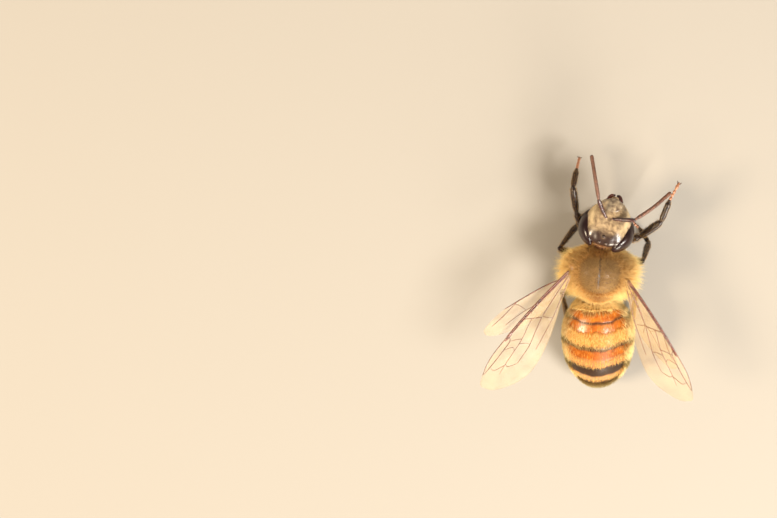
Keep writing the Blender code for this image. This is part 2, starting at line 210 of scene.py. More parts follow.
def along(path, share):
    """Point and direction on a sampled path, at shares from 0 to 1 of its length."""
    lengths = np.concatenate([[0], np.cumsum(np.linalg.norm(np.diff(path, axis=0), axis=1))])
    where = np.clip(share, 0, 1) * lengths[-1]
    point, direction = (np.stack([np.interp(where, lengths, rows[:, k]) for k in range(3)], 1)
                        for rows in (path, np.gradient(path, axis=0)))
    return point, unit(direction)


CAP = 0.08     # share of a limb's rings that round each end


def limb(name, points, radius, broad=(0, 0, 1), flat=1.0, segments=20, rings=40):
    """A closed tube through points; radius() gives it in millimetres at shares of the length.

    The tube is broad in one direction and is flat times as thick across it.
    """
    path = smooth_path(points)
    broad = np.array(broad, float)

    def place(ball):
        turn = np.arccos(np.clip(-ball[:, 2], -1, 1)) / math.pi
        share = np.clip((turn - CAP) / (1 - 2 * CAP), 0, 1)
        near, far = (np.clip(way / CAP, 0, 1) * math.pi / 2 for way in (turn, 1 - turn))
        point, direction = along(path, share)
        wide = unit(broad - direction * (direction @ broad)[:, None])
        across = np.cross(direction, wide)
        size = radius(share) * MM
        rounded = np.sin(near) * np.sin(far)
        bulge = np.cos(far) - np.cos(near)
        angle = np.arctan2(ball[:, 1], ball[:, 0])
        out = wide * np.cos(angle)[:, None] + across * (np.sin(angle) * flat)[:, None]
        return point + out * (size * rounded)[:, None] + direction * (bulge * size * flat)[:, None]

    return shell(name, segments, rings, place)


def profile(*stations):
    """A radius that runs smoothly through (share, millimetres) stations."""
    shares, sizes = np.array(stations, float).T

    def radius(share):
        i = np.clip(np.searchsorted(shares, share) - 1, 0, len(shares) - 2)
        t = np.clip((share - shares[i]) / (shares[i + 1] - shares[i]), 0, 1)
        return sizes[i] + (sizes[i + 1] - sizes[i]) * t * t * (3 - 2 * t)

    return radius


# %% [markdown]
# ## Handing a piece over
# Every finished piece gets its material and is carried by one body, and the solids it stands for
# are hidden. Each material starts from Blender's own shader, whose plain values are set by name.

# %% Keep a piece and start a material


def keep(piece, material, slot, *nodes):
    """Gives a finished piece its material and its body, and hides the solids it stands for; slot is not
    used.
    """
    piece.data.materials.clear()
    piece.data.materials.append(material)
    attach(piece, "root")
    if nodes:
        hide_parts(*nodes)
    return piece


def set_inputs(node, values):
    """Gives a node's inputs plain values, by name."""
    for title, value in values.items():
        node.inputs[title].default_value = value


def new_material(name, values):
    """A material, its node tree and its shader, which takes the plain values."""
    made = bpy.data.materials.new(name)
    made.use_nodes = True
    shader = made.node_tree.nodes["Principled BSDF"]
    set_inputs(shader, values)
    return made, made.node_tree, shader


# %% [markdown]
# ## Camera
# A bee is small, so the camera stands about fifteen centimetres off with a long lens, which keeps
# the shape from looking swollen. It looks down on the back, leaning fifteen degrees towards the
# face. The bee sits right of the middle, so the camera aims past it, to one side.

# %% Place the camera
LEAN = math.radians(15)
SIGHT = Vector((0, -math.sin(LEAN), math.cos(LEAN)))       # from the bee up to the camera
UPWARD = Vector((0, -math.cos(LEAN), -math.sin(LEAN)))     # towards the head, up in the picture
DISTANCE = 147.5 * MM
ASIDE = Vector((14.4, -0.95, 0)) * MM                      # from the thorax to the point aimed at
LENS, NEAREST = 100, 5 * MM

camera_data = bpy.data.cameras.new("camera")
camera_data.lens = LENS
camera_data.clip_start = NEAREST
camera = bpy.data.objects.new("camera", camera_data)
bpy.context.scene.collection.objects.link(camera)
camera.location = thorax_middle + SIGHT * DISTANCE
forward = (thorax_middle + ASIDE - camera.location).normalized()
rightward = forward.cross(UPWARD).normalized()
turn = Matrix((rightward, rightward.cross(forward), -forward)).transposed()
camera.rotation_euler = turn.to_euler()
bpy.context.scene.camera = camera
print("camera, mm:", [round(c / MM, 1) for c in camera.location])

# %% [markdown]
# ## Floor and light
# A museum would set the model on a pale table under soft lamps. One large lamp high on the bee's
# right gives the long highlights on eyes and plates, a second fills in from the left, and a third
# behind lights the edge of the hair, which is what makes a bee look furry.

# %% Floor, lamps and sky
FLOOR_SIZE = 1.2
LAMPS = (      # name, place in millimetres from the bee, watts, width in millimetres, colour
    ("key_lamp", (-110, 60, 170), 0.76, 80, (1.0, 0.94, 0.85)),
    ("fill_lamp", (140, 10, 140), 0.48, 60, (1.0, 0.82, 0.58)),
    ("rim_lamp", (-60, 180, 95), 0.46, 80, (1.0, 0.9, 0.74)),
)
clear_selection()
bpy.ops.mesh.primitive_plane_add(size=FLOOR_SIZE, location=(0, 0, 0))
floor = bpy.context.object
floor.name = "floor"
floor_paint, _, _ = new_material("floor_paint", {"Base Color": (0.315, 0.29, 0.258, 1), "Roughness": 0.85})
floor.data.materials.append(floor_paint)

for name, place, power, width, colour in LAMPS:
    data = bpy.data.lights.new(name, "AREA")
    data.energy = power
    data.size = width * MM
    data.color = colour
    lamp = bpy.data.objects.new(name, data)
    bpy.context.scene.collection.objects.link(lamp)
    lamp.location = Vector(place) * MM
    lamp.rotation_euler = (-lamp.location).to_track_quat("-Z", "Y").to_euler()

# This view keeps the golds as strong as they are.
bpy.context.scene.view_settings.view_transform = "Standard"
world = bpy.data.worlds.new("studio")
bpy.context.scene.world = world
world.use_nodes = True
set_inputs(world.node_tree.nodes["Background"], {"Color": (1.0, 0.96, 0.9, 1), "Strength": 0.25})
print("lamps:", [row[0] for row in LAMPS])

# %% [markdown]
# ## The bee's own places
# The solids stand on a floor at height zero. Their common base point lies under the middle of
# the thorax, which is egg-shaped, so the middle of its box is a hair's breadth off its true
# middle. The head turns to one side, so it needs axes of its own. Each eye is a long oval that
# stands up along the face, so the long axes of the two eyes give the way to the crown, and the
# line between them gives the way across.

# %% Find the base point and the head's axes
EGG_SHIFT = Vector((0.013, 0.010, 0.019)) * MM     # from the box's middle to the egg's
THORAX_HEIGHT = 4.1 * MM
thorax_centre = thorax_middle + EGG_SHIFT
base = Vector((thorax_centre.x, thorax_centre.y, thorax_centre.z - THORAX_HEIGHT))


def at(x, y, z):
    """A point in millimetres from the base point: x to the bee's left, y to its tail, z up."""
    return base + Vector((x, y, z)) * MM


EYE_PLACE = (1.36, 0.32, 0.62)      # from the head's middle: across, back and up to the crown
eye_means = {name: Vector(corners("eye_" + name).mean(0)) for _, name in SIDES}
between_eyes = (eye_means["left"] + eye_means["right"]) / 2
mouth = (middle("mandible_left") + middle("mandible_right")) / 2
head_left = (eye_means["left"] - eye_means["right"]).normalized()
crown = Vector((0, 0, 0))
for _, name in SIDES:
    lie = Vector(own_axes("eye_" + name)[:, 2])
    crown += lie if lie.dot(between_eyes - mouth) > 0 else -lie
crown = (crown - head_left * crown.dot(head_left)).normalized()
head_back = crown.cross(head_left)
head_centre = between_eyes - (head_back * EYE_PLACE[1] + crown * EYE_PLACE[2]) * MM
head_axes = np.array([head_left, head_back, crown])
print("head middle, mm:", [round(c / MM, 2) for c in head_centre - base])


def in_head(x, y, z):
    """A point in millimetres from the head's middle: to its left, to its back, to the crown."""
    return head_centre + (head_left * x + head_back * y + crown * z) * MM


# %% [markdown]
# ## Finishes that several parts share
# Insect shell is a hard, thin varnish over fine pits and wrinkles. A node group makes that grain
# once: it puts out a height for the bump and a shade that varies the colour. A second group
# colours every hair from its root to its tip and makes each hair a little different. The shaders
# themselves stay in the materials, where the gloss of each part is set.

# %% Node groups


def node_group(name, inputs, outputs):
    """An empty group with its named sockets, and its input and output nodes."""
    made = bpy.data.node_groups.new(name, "ShaderNodeTree")
    for title, kind in inputs:
        made.interface.new_socket(title, in_out="INPUT", socket_type=kind)
    for title, kind in outputs:
        made.interface.new_socket(title, in_out="OUTPUT", socket_type=kind)
    return made, made.nodes.new("NodeGroupInput"), made.nodes.new("NodeGroupOutput")


def feed(tree, socket, value):
    """Links a socket to another one, or gives it a plain number or colour."""
    if isinstance(value, bpy.types.NodeSocket):
        tree.links.new(value, socket)
    else:
        socket.default_value = (*value, 1) if isinstance(value, tuple) else value


def sums(tree, operation, first, second):
    """A math node; each input is a socket or a number."""
    made = tree.nodes.new("ShaderNodeMath")
    made.operation = operation
    feed(tree, made.inputs[0], first)
    feed(tree, made.inputs[1], second)
    return made.outputs[0]


def blend_colours(tree, share, first, second):
    """A colour mixed from two; the share and each colour are a socket or a value."""
    made = tree.nodes.new("ShaderNodeMix")
    made.data_type = "RGBA"
    for number, value in ((0, share), (6, first), (7, second)):
        feed(tree, made.inputs[number], value)
    return made.outputs[2]


def attribute(tree, name):
    """The numbers that mark() stored on a piece."""
    made = tree.nodes.new("ShaderNodeAttribute")
    made.attribute_name = name
    return made.outputs["Fac"]


# %% [markdown]
# ## Grain and shade
# Fine noise makes the wrinkles of a shell, a cell pattern its pits, and a coarser noise the clouds
# in its colour. They fill space, so no surface has to be unwrapped for them. A hair needs no
# texture: two numbers stored on it say how far up it a point is and how dusty the whole hair is.

# %% Build the two groups
NUMBER = "NodeSocketFloat"
COLOUR = "NodeSocketColor"
CLOUD_SHARE = 0.13                        # clouds of colour are this many times coarser than the grain
CLOUD_START, CLOUD_GAIN = 0.3, 2.5        # stretches the middle of the clouds' range to 0 to 1
DUST = (0.08, 0.04, 0.02)                 # what an uneven hair's colour drifts towards
shell_grain, grain_in, grain_out = node_group(
    "shell_grain", (("Grain per metre", NUMBER), ("Pits", NUMBER)), (("Height", NUMBER), ("Shade", NUMBER)))
grain = grain_in.outputs["Grain per metre"]
coarse = sums(shell_grain, "MULTIPLY", grain, CLOUD_SHARE)
place = shell_grain.nodes.new("ShaderNodeTexCoord").outputs["Object"]
wrinkles, pits, clouds = (shell_grain.nodes.new("ShaderNodeTex" + kind)
                          for kind in ("Noise", "Voronoi", "Noise"))
wrinkles.inputs["Detail"].default_value = 3
for texture, scale in ((wrinkles, grain), (pits, grain), (clouds, coarse)):
    feed(shell_grain, texture.inputs["Vector"], place)
    feed(shell_grain, texture.inputs["Scale"], scale)
pitted = sums(shell_grain, "MULTIPLY", pits.outputs["Distance"], grain_in.outputs["Pits"])
feed(shell_grain, grain_out.inputs["Height"], sums(shell_grain, "ADD", wrinkles.outputs[0], pitted))
cloudy = sums(shell_grain, "SUBTRACT", clouds.outputs[0], CLOUD_START)
feed(shell_grain, grain_out.inputs["Shade"], sums(shell_grain, "MULTIPLY", cloudy, CLOUD_GAIN))

hair_shade, hair_in, hair_out = node_group(
    "hair_shade", (("Root", COLOUR), ("Tip", COLOUR), ("Uneven", NUMBER)), (("Color", COLOUR),))
root_to_tip = blend_colours(hair_shade, attribute(hair_shade, "rise"), *hair_in.outputs[:2])
dusty = sums(hair_shade, "MULTIPLY", attribute(hair_shade, "tint"), hair_in.outputs["Uneven"])
feed(hair_shade, hair_out.inputs["Color"], blend_colours(hair_shade, dusty, root_to_tip, DUST))
print("groups:", [group.name for group in bpy.data.node_groups])

# %% [markdown]
# ## From group to material
# A material uses a group, links what comes out of it to the shader and lays its own marks over
# it, such as the dark bands. A mark is a number at each point of the mesh. It comes from the same
# formula as the form, so that colour and form agree.

# %% Materials from the groups


def add_group(tree, group, values):
    """A use of a node group, with plain values for its inputs."""
    made = tree.nodes.new("ShaderNodeGroup")
    made.node_tree = group
    set_inputs(made, values)
    return made


def add_bumps(tree, shader, height, relief, invert=False):
    """Bumps from a height, relief millimetres high."""
    made = tree.nodes.new("ShaderNodeBump")
    made.invert = invert
    made.inputs["Distance"].default_value = relief * MM
    tree.links.new(height, made.inputs["Height"])
    tree.links.new(made.outputs["Normal"], shader.inputs["Normal"])


def add_grain(tree, shader, colours, grain, relief, pits, marks=()):
    """Colour between two shades, with marks over it, and bumps, both from the shell's grain."""
    surface = add_group(tree, shell_grain, {"Grain per metre": grain, "Pits": pits})
    colour = blend_colours(tree, surface.outputs["Shade"], *colours)
    for title, marked in marks:
        colour = blend_colours(tree, attribute(tree, title), colour, marked)
    tree.links.new(colour, shader.inputs["Base Color"])
    add_bumps(tree, shader, surface.outputs["Height"], relief)


def shell_material(name, colours, roughness, grain, relief, pits=0.5, varnish=0.3, marks=(), shine=0.4):
    """Insect shell between two shades; each mark is a point attribute and the colour it brings."""
    made, tree, shader = new_material(name, {
        "Roughness": roughness, "Specular IOR Level": shine, "Coat Weight": varnish, "Coat Roughness": 0.25})
    add_grain(tree, shader, colours, grain, relief, pits, marks)
    return made


def hair_material(name, root, tip, uneven=0.5, dark=None):
    """Hair: root and tip colours, and the pair that takes over where a hair's dark mark is 1."""
    made, tree, shader = new_material(name, {
        "Roughness": 0.6, "Specular IOR Level": 0.15,
        "Sheen Weight": 0.25, "Sheen Roughness": 0.5, "Sheen Tint": (*tip, 1)})
    surface = add_group(tree, hair_shade, {"Root": (*root, 1), "Tip": (*tip, 1), "Uneven": uneven})
    if dark:
        for socket, usual, other in zip(surface.inputs, (root, tip), dark):
            tree.links.new(blend_colours(tree, attribute(tree, "dark"), usual, other), socket)
    tree.links.new(surface.outputs["Color"], shader.inputs["Base Color"])
    return made

# %% [markdown]
# ## Thorax
# The thorax is the bee's engine room: one hard box, nearly a ball, that holds the wing muscles.
# Its top is a broad shield, the scutum, with a fine line down its middle. Behind a curved groove
# lies a raised rim, the scutellum. An egg with a few shallow hills and grooves gives all of it,
# and the same formula later tells each hair where its root is.

# %% Thorax shell
THORAX_FINENESS = (128, 96)
THORAX_BARE = np.array((2.02, 1.95, 1.98))      # half sizes under the hair
THORAX_TURN = np.array(
    Matrix.Rotation(math.radians(-5), 3, "Z") @ Matrix.Rotation(math.radians(-12), 3, "X"))
GROOVE_PLACE = 0.55
GROOVE_DEPTH, RIM_HEIGHT, LINE_DEPTH, SHIELD_LINE_DEPTH = 0.05, 0.06, 0.014, 0.01
DISC_HALF_WIDTH, DISC_HALF_LENGTH, DISC_SQUARENESS = 0.84, 0.76, 2.6


def scutellum_share(u):
    """1 on the rim behind the groove of the back, 0 elsewhere."""
    groove = GROOVE_PLACE + 0.12 * u[:, 0] ** 2
    return step(0, 0.06, u[:, 1] - groove) * step(0.15, 0.4, u[:, 2])


def thorax_surface(u):
    """Carries points of a ball of radius 1 to the shell of the thorax."""
    x, y, z = u.T
    top = step(0.1, 0.5, z)
    groove = GROOVE_DEPTH * bump(y - 0.12 * x**2, GROOVE_PLACE, 0.05) * top
    rim = RIM_HEIGHT * bump(y, 0.74, 0.15) * bump(x, 0, 0.55) * top
    line = LINE_DEPTH * bump(x, 0, 0.025) * bump(y, -0.15, 0.5) * top
    shield_lines = SHIELD_LINE_DEPTH * bump(np.abs(x) - 0.1 * y, 0.42, 0.03) * bump(y, 0.1, 0.3) * top
    size = 1 + rim - groove - line - shield_lines
    narrow = (1 - 0.1 * y) * (1 - 0.06 * np.maximum(z, 0))
    local = u * size[:, None] * THORAX_BARE * np.stack([narrow, np.ones_like(y), narrow], 1)
    return np.array(thorax_centre) + local @ THORAX_TURN.T * MM


def disc_reach(u):
    """How far out from the middle of the back a place lies: 1 is the rim of the bare disc."""
    across = np.abs(u[:, 0]) / DISC_HALF_WIDTH
    behind = np.abs(u[:, 1] + 0.24) / DISC_HALF_LENGTH
    reach = (across**DISC_SQUARENESS + behind**DISC_SQUARENESS) ** (1 / DISC_SQUARENESS)
    return reach + 2 * (u[:, 2] < 0)


def disc_share(u):
    """1 on the nearly bare middle of the back, 0 in the ruff."""
    return 1 - step(0.68, 1.1, disc_reach(u))


def middle_line(u):
    """1 along the fine dark line down the middle of the back."""
    return bump(u[:, 0], 0.02, 0.055) * (1 - step(-0.1, 0.3, u[:, 1]))


thorax_paint = shell_material(
    "thorax_shell", ((0.085, 0.042, 0.016), (0.27, 0.15, 0.055)),
    roughness=0.42, grain=26000, relief=0.012, pits=0.8, varnish=0.2,
    marks=(("ruff", (0.27, 0.12, 0.035)), ("scutellum", (0.34, 0.14, 0.035)),
           ("line", (0.03, 0.014, 0.006))))
thorax_skin = shell("thorax_skin", *THORAX_FINENESS, thorax_surface, (
    ("ruff", lambda u: 1 - disc_share(u)),
    ("scutellum", scutellum_share),
    ("line", lambda u: 0.9 * middle_line(u))))
keep(thorax_skin, thorax_paint, "thorax_coat", "thorax")
print("thorax:", len(thorax_skin.data.polygons), "faces")

# %% [markdown]
# ## Wing roots
# Each pair of wings leaves the thorax through a knot of small plates, and a smooth scale called
# the tegula covers the root of the fore wing like a shoulder pad.

# %% Tegulae and wing sockets
FORE_HINGES = {"left": at(2.1, -0.4, 5.3), "right": at(-1.95, 0.22, 5.3)}
dark_shell = shell_material("dark_shell", ((0.02, 0.011, 0.008), (0.075, 0.038, 0.022)),
                            roughness=0.3, grain=30000, relief=0.006)
tawny_shell = shell_material("tawny_shell", ((0.16, 0.065, 0.03), (0.36, 0.16, 0.07)),
                             roughness=0.32, grain=30000, relief=0.006)
TEGULA_SIZES, SOCKET_SIZES = (0.3, 0.38, 0.18), (0.2, 0.16, 0.13)
SOCKET_STEPS = ((0.15, -0.2), (0.45, -0.38), (0.72, -0.6))      # back and up from the hinge


def dome(name, centre, sizes, axes, material, slot, segments=32, rings=20):
    """A rounded cap: a ball squeezed to its half sizes along three axes and set at a place."""
    axes = np.array([tuple(Vector(axis).normalized()) for axis in axes])

    def place(ball):
        return np.array(centre) + (ball * np.array(sizes) * MM) @ axes

    return keep(shell(name, segments, rings, place), material, slot)


for side, name in SIDES:
    hinge = FORE_HINGES[name]
    aside, tailward = Vector((side, 0, 0)), Vector((0, 1, 0))
    dome("tegula_" + name, hinge + Vector((-0.3 * side, -0.12, -0.28)) * MM, TEGULA_SIZES,
         (Vector((side, 0, -0.7)), tailward, Vector((side, 0.1, 0.55))), tawny_shell, "thorax_coat")
    for number, (back, up) in enumerate(SOCKET_STEPS):
        dome(f"wing_socket_{name}_{number + 1}", hinge + Vector((-0.36 * side, back, up)) * MM,
             SOCKET_SIZES, (aside, tailward, UP), tawny_shell, "wing", 20, 12)
print("wing roots done")

# %% [markdown]
# ## Head
# Seen from the front a worker's head is a rounded triangle, wide at the crown and narrow at the
# chin, and flat from front to back. Over the mouth lies a bulging shield, the clypeus, with the
# little upper lip, the labrum, below it. Three small simple eyes, the ocelli, sit in a triangle
# on the crown.

# %% Head shell
HEAD_FINENESS = (128, 96)
HEAD_HALF_WIDTH, HEAD_HALF_DEPTH, HEAD_TOP, HEAD_CHIN = 1.56, 0.9, 1.78, 1.66
HEAD_SQUARENESS, CROWN_SQUARENESS = 0.62, 0.82
SOCKET_ACROSS, SOCKET_UP = 0.26, 0.12
CROWN_DIP, CHIN_FORWARD = 0.05, 0.18
FACE_FORMS = (      # how deep, then middle and width to the sides, middle and width upwards
    (0.08, SOCKET_ACROSS, 0.13, SOCKET_UP, 0.13),      # the feelers' sockets
    (0.035, 0, 0.05, 0.6, 0.35),                       # the line between them
    (0.035, 0.5, 0.05, -0.9, 0.35),                    # the seams beside the clypeus
    (-0.07, 0.62, 0.34, 0.72, 0.5),                    # the cheeks beside the eyes, which stand out
)


def face_place(u):
    """Where points of the ball land on the head: millimetres across it and up it."""
    x, _, z = u.T
    width = HEAD_HALF_WIDTH * (1 - 0.42 * np.maximum(-z, 0) ** 1.3)
    up = np.where(z > 0, HEAD_TOP * np.abs(z) ** CROWN_SQUARENESS, HEAD_CHIN * z)
    return np.sign(x) * np.abs(x) ** HEAD_SQUARENESS * width, up


def head_surface(u):
    """Carries points of a ball of radius 1 to the shell of the head."""
    across, up = face_place(u)
    face, z = np.maximum(-u[:, 1], 0), u[:, 2]
    aside = np.abs(across)
    depth = u[:, 1] * HEAD_HALF_DEPTH * (1 - 0.25 * np.maximum(z, 0))
    depth = depth - CHIN_FORWARD * bump(z, -0.55, 0.35) * face
    forms = (deep * bump(aside, x, wide) * bump(up, y, high) for deep, x, wide, y, high in FACE_FORMS)
    depth += sum(forms) * step(0, 0.4, face)
    crown_dip = CROWN_DIP * bump(aside, 0.7, 0.2) * step(0.4, 0.9, z)
    local = np.stack([across, depth, up - crown_dip], 1)
    return np.array(head_centre) + (local * MM) @ head_axes


def crown_share(u):
    """1 on the dark, bare crown and behind it, 0 on the pale face."""
    across, up = face_place(u)
    median = 0.5 * bump(across, 0.1, 0.11) * (1 - step(1.45, 1.6, up))
    behind = step(-0.05, 0.25, u[:, 1])
    return np.maximum(step(0.74, 1.36, up + 0.04 * np.sin(6 * across)) * (1 - median), behind)


def margin_share(u):
    """1 along the pale inner margins of the eyes."""
    across, up = face_place(u)
    beside_eye = 1.2 - 0.3 * np.maximum(up, 0) ** 2
    return bump(np.abs(across), beside_eye, 0.13) * bump(up, -0.15, 0.9) * (u[:, 1] < 0)


head_paint = shell_material(
    "head_shell", ((0.14, 0.082, 0.045), (0.54, 0.385, 0.22)),
    roughness=0.28, grain=30000, relief=0.0015, pits=0.25, varnish=0.8,
    marks=(("margin", (0.80, 0.63, 0.38)), ("crown", (0.030, 0.013, 0.008))))
head_skin = shell("head_skin", *HEAD_FINENESS, head_surface,
                  (("crown", crown_share), ("margin", margin_share)))
keep(head_skin, head_paint, "head_coat", "head")
print("head:", len(head_skin.data.polygons), "faces")

# %% [markdown]
# ## Small forms of the face
# The clypeus, the upper lip and the simple eyes are domes of their own, so that each has its own
# gloss. A ray cast at the head finds where the clypeus and the simple eyes sit on its shell.

# %% Clypeus, labrum and ocelli
FACE_AXES = (head_left, crown, -head_back)
CLYPEUS_SIZES, LABRUM_SIZES, OCELLUS_SIZES = (0.62, 0.54, 0.2), (0.25, 0.15, 0.1), (0.12, 0.12, 0.1)
OCELLI = ((0.04, -0.5), (-0.21, -0.2), (0.25, -0.2))      # across and back
OUTSIDE = 3                                               # millimetres out from the head's middle


def on_face(x, z):
    """The point of the face at a place across and up."""
    return head_skin.ray_cast(in_head(x, -OUTSIDE, z), head_back)[1]


clypeus_paint = shell_material("clypeus_shell", ((0.11, 0.07, 0.045), (0.50, 0.38, 0.24)),
                               roughness=0.28, grain=30000, relief=0.004)
labrum_paint = shell_material("labrum_shell", ((0.24, 0.14, 0.07), (0.52, 0.36, 0.2)),
                              roughness=0.34, grain=30000, relief=0.005)
dome("clypeus", on_face(0, -0.82) + head_back * 0.05 * MM, CLYPEUS_SIZES, FACE_AXES, clypeus_paint,
     "head_coat", 40, 24)
dome("labrum", in_head(0, -0.66, -1.46), LABRUM_SIZES, FACE_AXES, labrum_paint, "mouthparts")
for number, (x, y) in enumerate(OCELLI):
    _, point, normal, _ = head_skin.ray_cast(in_head(x, y, OUTSIDE), -crown)
    dome(f"ocellus_{number + 1}", point, OCELLUS_SIZES, (head_left, normal.cross(head_left), normal),
         dark_shell, "eye", 24, 16)
print("face done")

# %% [markdown]
# ## Compound eyes
# Each big eye is made of thousands of six-sided lenses, so fine that from here they only break up
# the shine a little. The eye is a long oval set into the side of the head. A cell pattern in the
# bump gives the lenses, and a slow colour cloud gives the warm brown that light brings out.

# %% Eyes
EYE_HALF = np.array((0.53, 0.79, 1.26))
EYE_CURL = 0.55                   # how far the upper ends curl towards each other
EYE_FINENESS = (72, 56)
LENSES_PER_METRE, CLOUDS_PER_METRE = 34000, 1500
eye_paint, eye_tree, eye_shader = new_material("eye_lens", {
    "Roughness": 0.3, "Specular IOR Level": 0.2, "Coat Weight": 0.5, "Coat Roughness": 0.13})
eye_place = eye_tree.nodes.new("ShaderNodeTexCoord").outputs["Object"]
lenses = eye_tree.nodes.new("ShaderNodeTexVoronoi")
set_inputs(lenses, {"Scale": LENSES_PER_METRE, "Randomness": 0.15})
eye_clouds = eye_tree.nodes.new("ShaderNodeTexNoise")
eye_clouds.inputs["Scale"].default_value = CLOUDS_PER_METRE
for texture in (lenses, eye_clouds):
    eye_tree.links.new(eye_place, texture.inputs["Vector"])
eye_colour = blend_colours(eye_tree, eye_clouds.outputs[0], (0.006, 0.002, 0.003), (0.026, 0.008, 0.006))
eye_tree.links.new(eye_colour, eye_shader.inputs["Base Color"])
add_bumps(eye_tree, eye_shader, lenses.outputs["Distance"], relief=0.004, invert=True)


def eye_surface(side):
    """The place of an eye's points: a tall oval whose upper end curls over the crown."""

    def place(ball):
        local = ball * EYE_HALF
        local[:, 0] -= side * EYE_CURL * np.maximum(ball[:, 2], 0) ** 2
        local += np.array(EYE_PLACE) * (side, 1, 1)
        return np.array(head_centre) + (local * MM) @ head_axes

    return place


for side, name in SIDES:
    keep(shell(name + "_eye", *EYE_FINENESS, eye_surface(side)), eye_paint, "eye", "eye_" + name)
print("eyes done")

# %% [markdown]
# ## Mouth
# The jaws, or mandibles, close like two spoons at the tip of the face. The tongue, a long tube of
# several blades, folds away behind the chin when the bee isn't feeding.

# %% Mandibles, tongue and neck
JAW = ((0.36, -0.2, -1.15), (0.38, -0.42, -1.42), (0.27, -0.54, -1.64), (0.09, -0.58, -1.75))
JAW_RADII = ((0, 0.23), (0.3, 0.2), (0.65, 0.17), (0.9, 0.14), (1, 0.08))
TONGUE = ((0, 0.25, -1.62), (0, 0.75, -1.35), (0, 1.05, -0.8), (0, 1.12, -0.3))
TONGUE_RADII = ((0, 0.2), (0.4, 0.24), (0.8, 0.2), (1, 0.12))
NECK_RADII = ((0, 0.5), (0.5, 0.42), (1, 0.46))
jaw_paint = shell_material(
    "jaw_shell", ((0.012, 0.005, 0.004), (0.09, 0.022, 0.012)),
    roughness=0.22, grain=30000, relief=0.006, varnish=0.6)
# The neck tube is near black and dull: painted shade in the gap between head and thorax.
neck_paint = shell_material(
    "neck_skin", ((0.03, 0.010, 0.005), (0.10, 0.034, 0.012)),
    roughness=0.7, grain=30000, relief=0.006, varnish=0, shine=0.1)
for side, name in SIDES:
    jaw = limb("jaw_" + name, [in_head(x * side, y, z) for x, y, z in JAW], profile(*JAW_RADII),
               head_left + crown * 0.5, 0.62, 28, 48)
    keep(jaw, jaw_paint, "mouthparts", "mandible_" + name)
tongue = limb("tongue", [in_head(*place) for place in TONGUE], profile(*TONGUE_RADII), head_left, 0.7)
keep(tongue, tawny_shell, "mouthparts", "proboscis")
neck = limb("neck_tube", [at(0.1, -1.2, 4.3), in_head(0, 0.3, 0.2)], profile(*NECK_RADII), segments=32)
keep(neck, neck_paint, "mouthparts", "neck")
print("mouth and neck done")

# %% [markdown]
# ## Feelers
# A feeler is an elbow: one long piece, the scape, stands in a socket on the face, and a whip of
# ten short rings hangs from a knuckle at its end. The rings narrow a little where they join, so
# the tube's radius dips at each joint.

# %% Feelers
FEELER_RINGS = 10
RING_DIP = 0.1                    # how much thinner a feeler is where two rings join
FIRST_RADIUS, RING_SWELL = 0.085, 0.04
SCAPE_RADII = ((0, 0.11), (0.06, 0.09), (0.12, 0.12), (0.8, 0.155), (1, 0.12))
WHIP_ARCH, WHIP_REACH = 0.2, 0.98      # how high the whip arches, and its share of the solid's length
SOCKET_RING, KNUCKLE = (0.14, 0.14, 0.05), (0.11, 0.11, 0.11)


def whip_radius(share):
    """Narrow at the first ring, then even, dipping at each joint and rounded at the tip."""
    phase = share * FEELER_RINGS
    joint = np.abs(phase - np.round(phase))
    dip = 1 - RING_DIP * np.exp(-((joint / 0.09) ** 2)) * (share > 0.02) * (share < 0.98)
    return (FIRST_RADIUS + RING_SWELL * step(0.02, 0.16, share)) * dip


feeler_paint = shell_material(
    "feeler_shell", ((0.05, 0.02, 0.013), (0.19, 0.08, 0.045)),
    roughness=0.45, grain=60000, relief=0.006, varnish=0.1)
stem_paint = shell_material(
    "feeler_stem_shell", ((0.02, 0.009, 0.01), (0.09, 0.035, 0.03)),
    roughness=0.24, grain=60000, relief=0.004, varnish=0.8)
for side, name in SIDES:
    elbow = meeting("scape_" + name, "flagellum_" + name)
    root = in_head(SOCKET_ACROSS * side, -0.84, SOCKET_UP)
    tip = far_end("flagellum_" + name, elbow)
    scape = limb("feeler_stem_" + name, [root, (root + elbow) / 2 + head_left * 0.03 * side * MM, elbow],
                 profile(*SCAPE_RADII), rings=60)
    keep(scape, stem_paint, "feeler", "scape_" + name)
    arch = middle("flagellum_" + name)
    arch.z = (elbow.z + tip.z) / 2 + WHIP_ARCH * MM
    whip = limb("feeler_whip_" + name, [elbow, arch, elbow + (tip - elbow) * WHIP_REACH], whip_radius,
                segments=24, rings=200)
    keep(whip, feeler_paint, "feeler", "flagellum_" + name)
    socket = on_face(SOCKET_ACROSS * side, SOCKET_UP)
    dome("feeler_socket_" + name, socket, SOCKET_RING, FACE_AXES, labrum_paint, "feeler", 28, 16)
    dome("feeler_knuckle_" + name, elbow, KNUCKLE, FACE_AXES, feeler_paint, "feeler", 20, 14)
print("feelers done")

# %% [markdown]
# ## Abdomen
# The abdomen is a telescope. Each ring is a stiff plate whose rear edge laps over the next, so
# the bee can stretch and bend it. Here each plate is a closed drum: its front end hides inside
# the plate before it, its wall follows the abdomen's own round form, and its rear edge stands a
# little proud with a thin lip. The joints between the solids give the line along its middle.

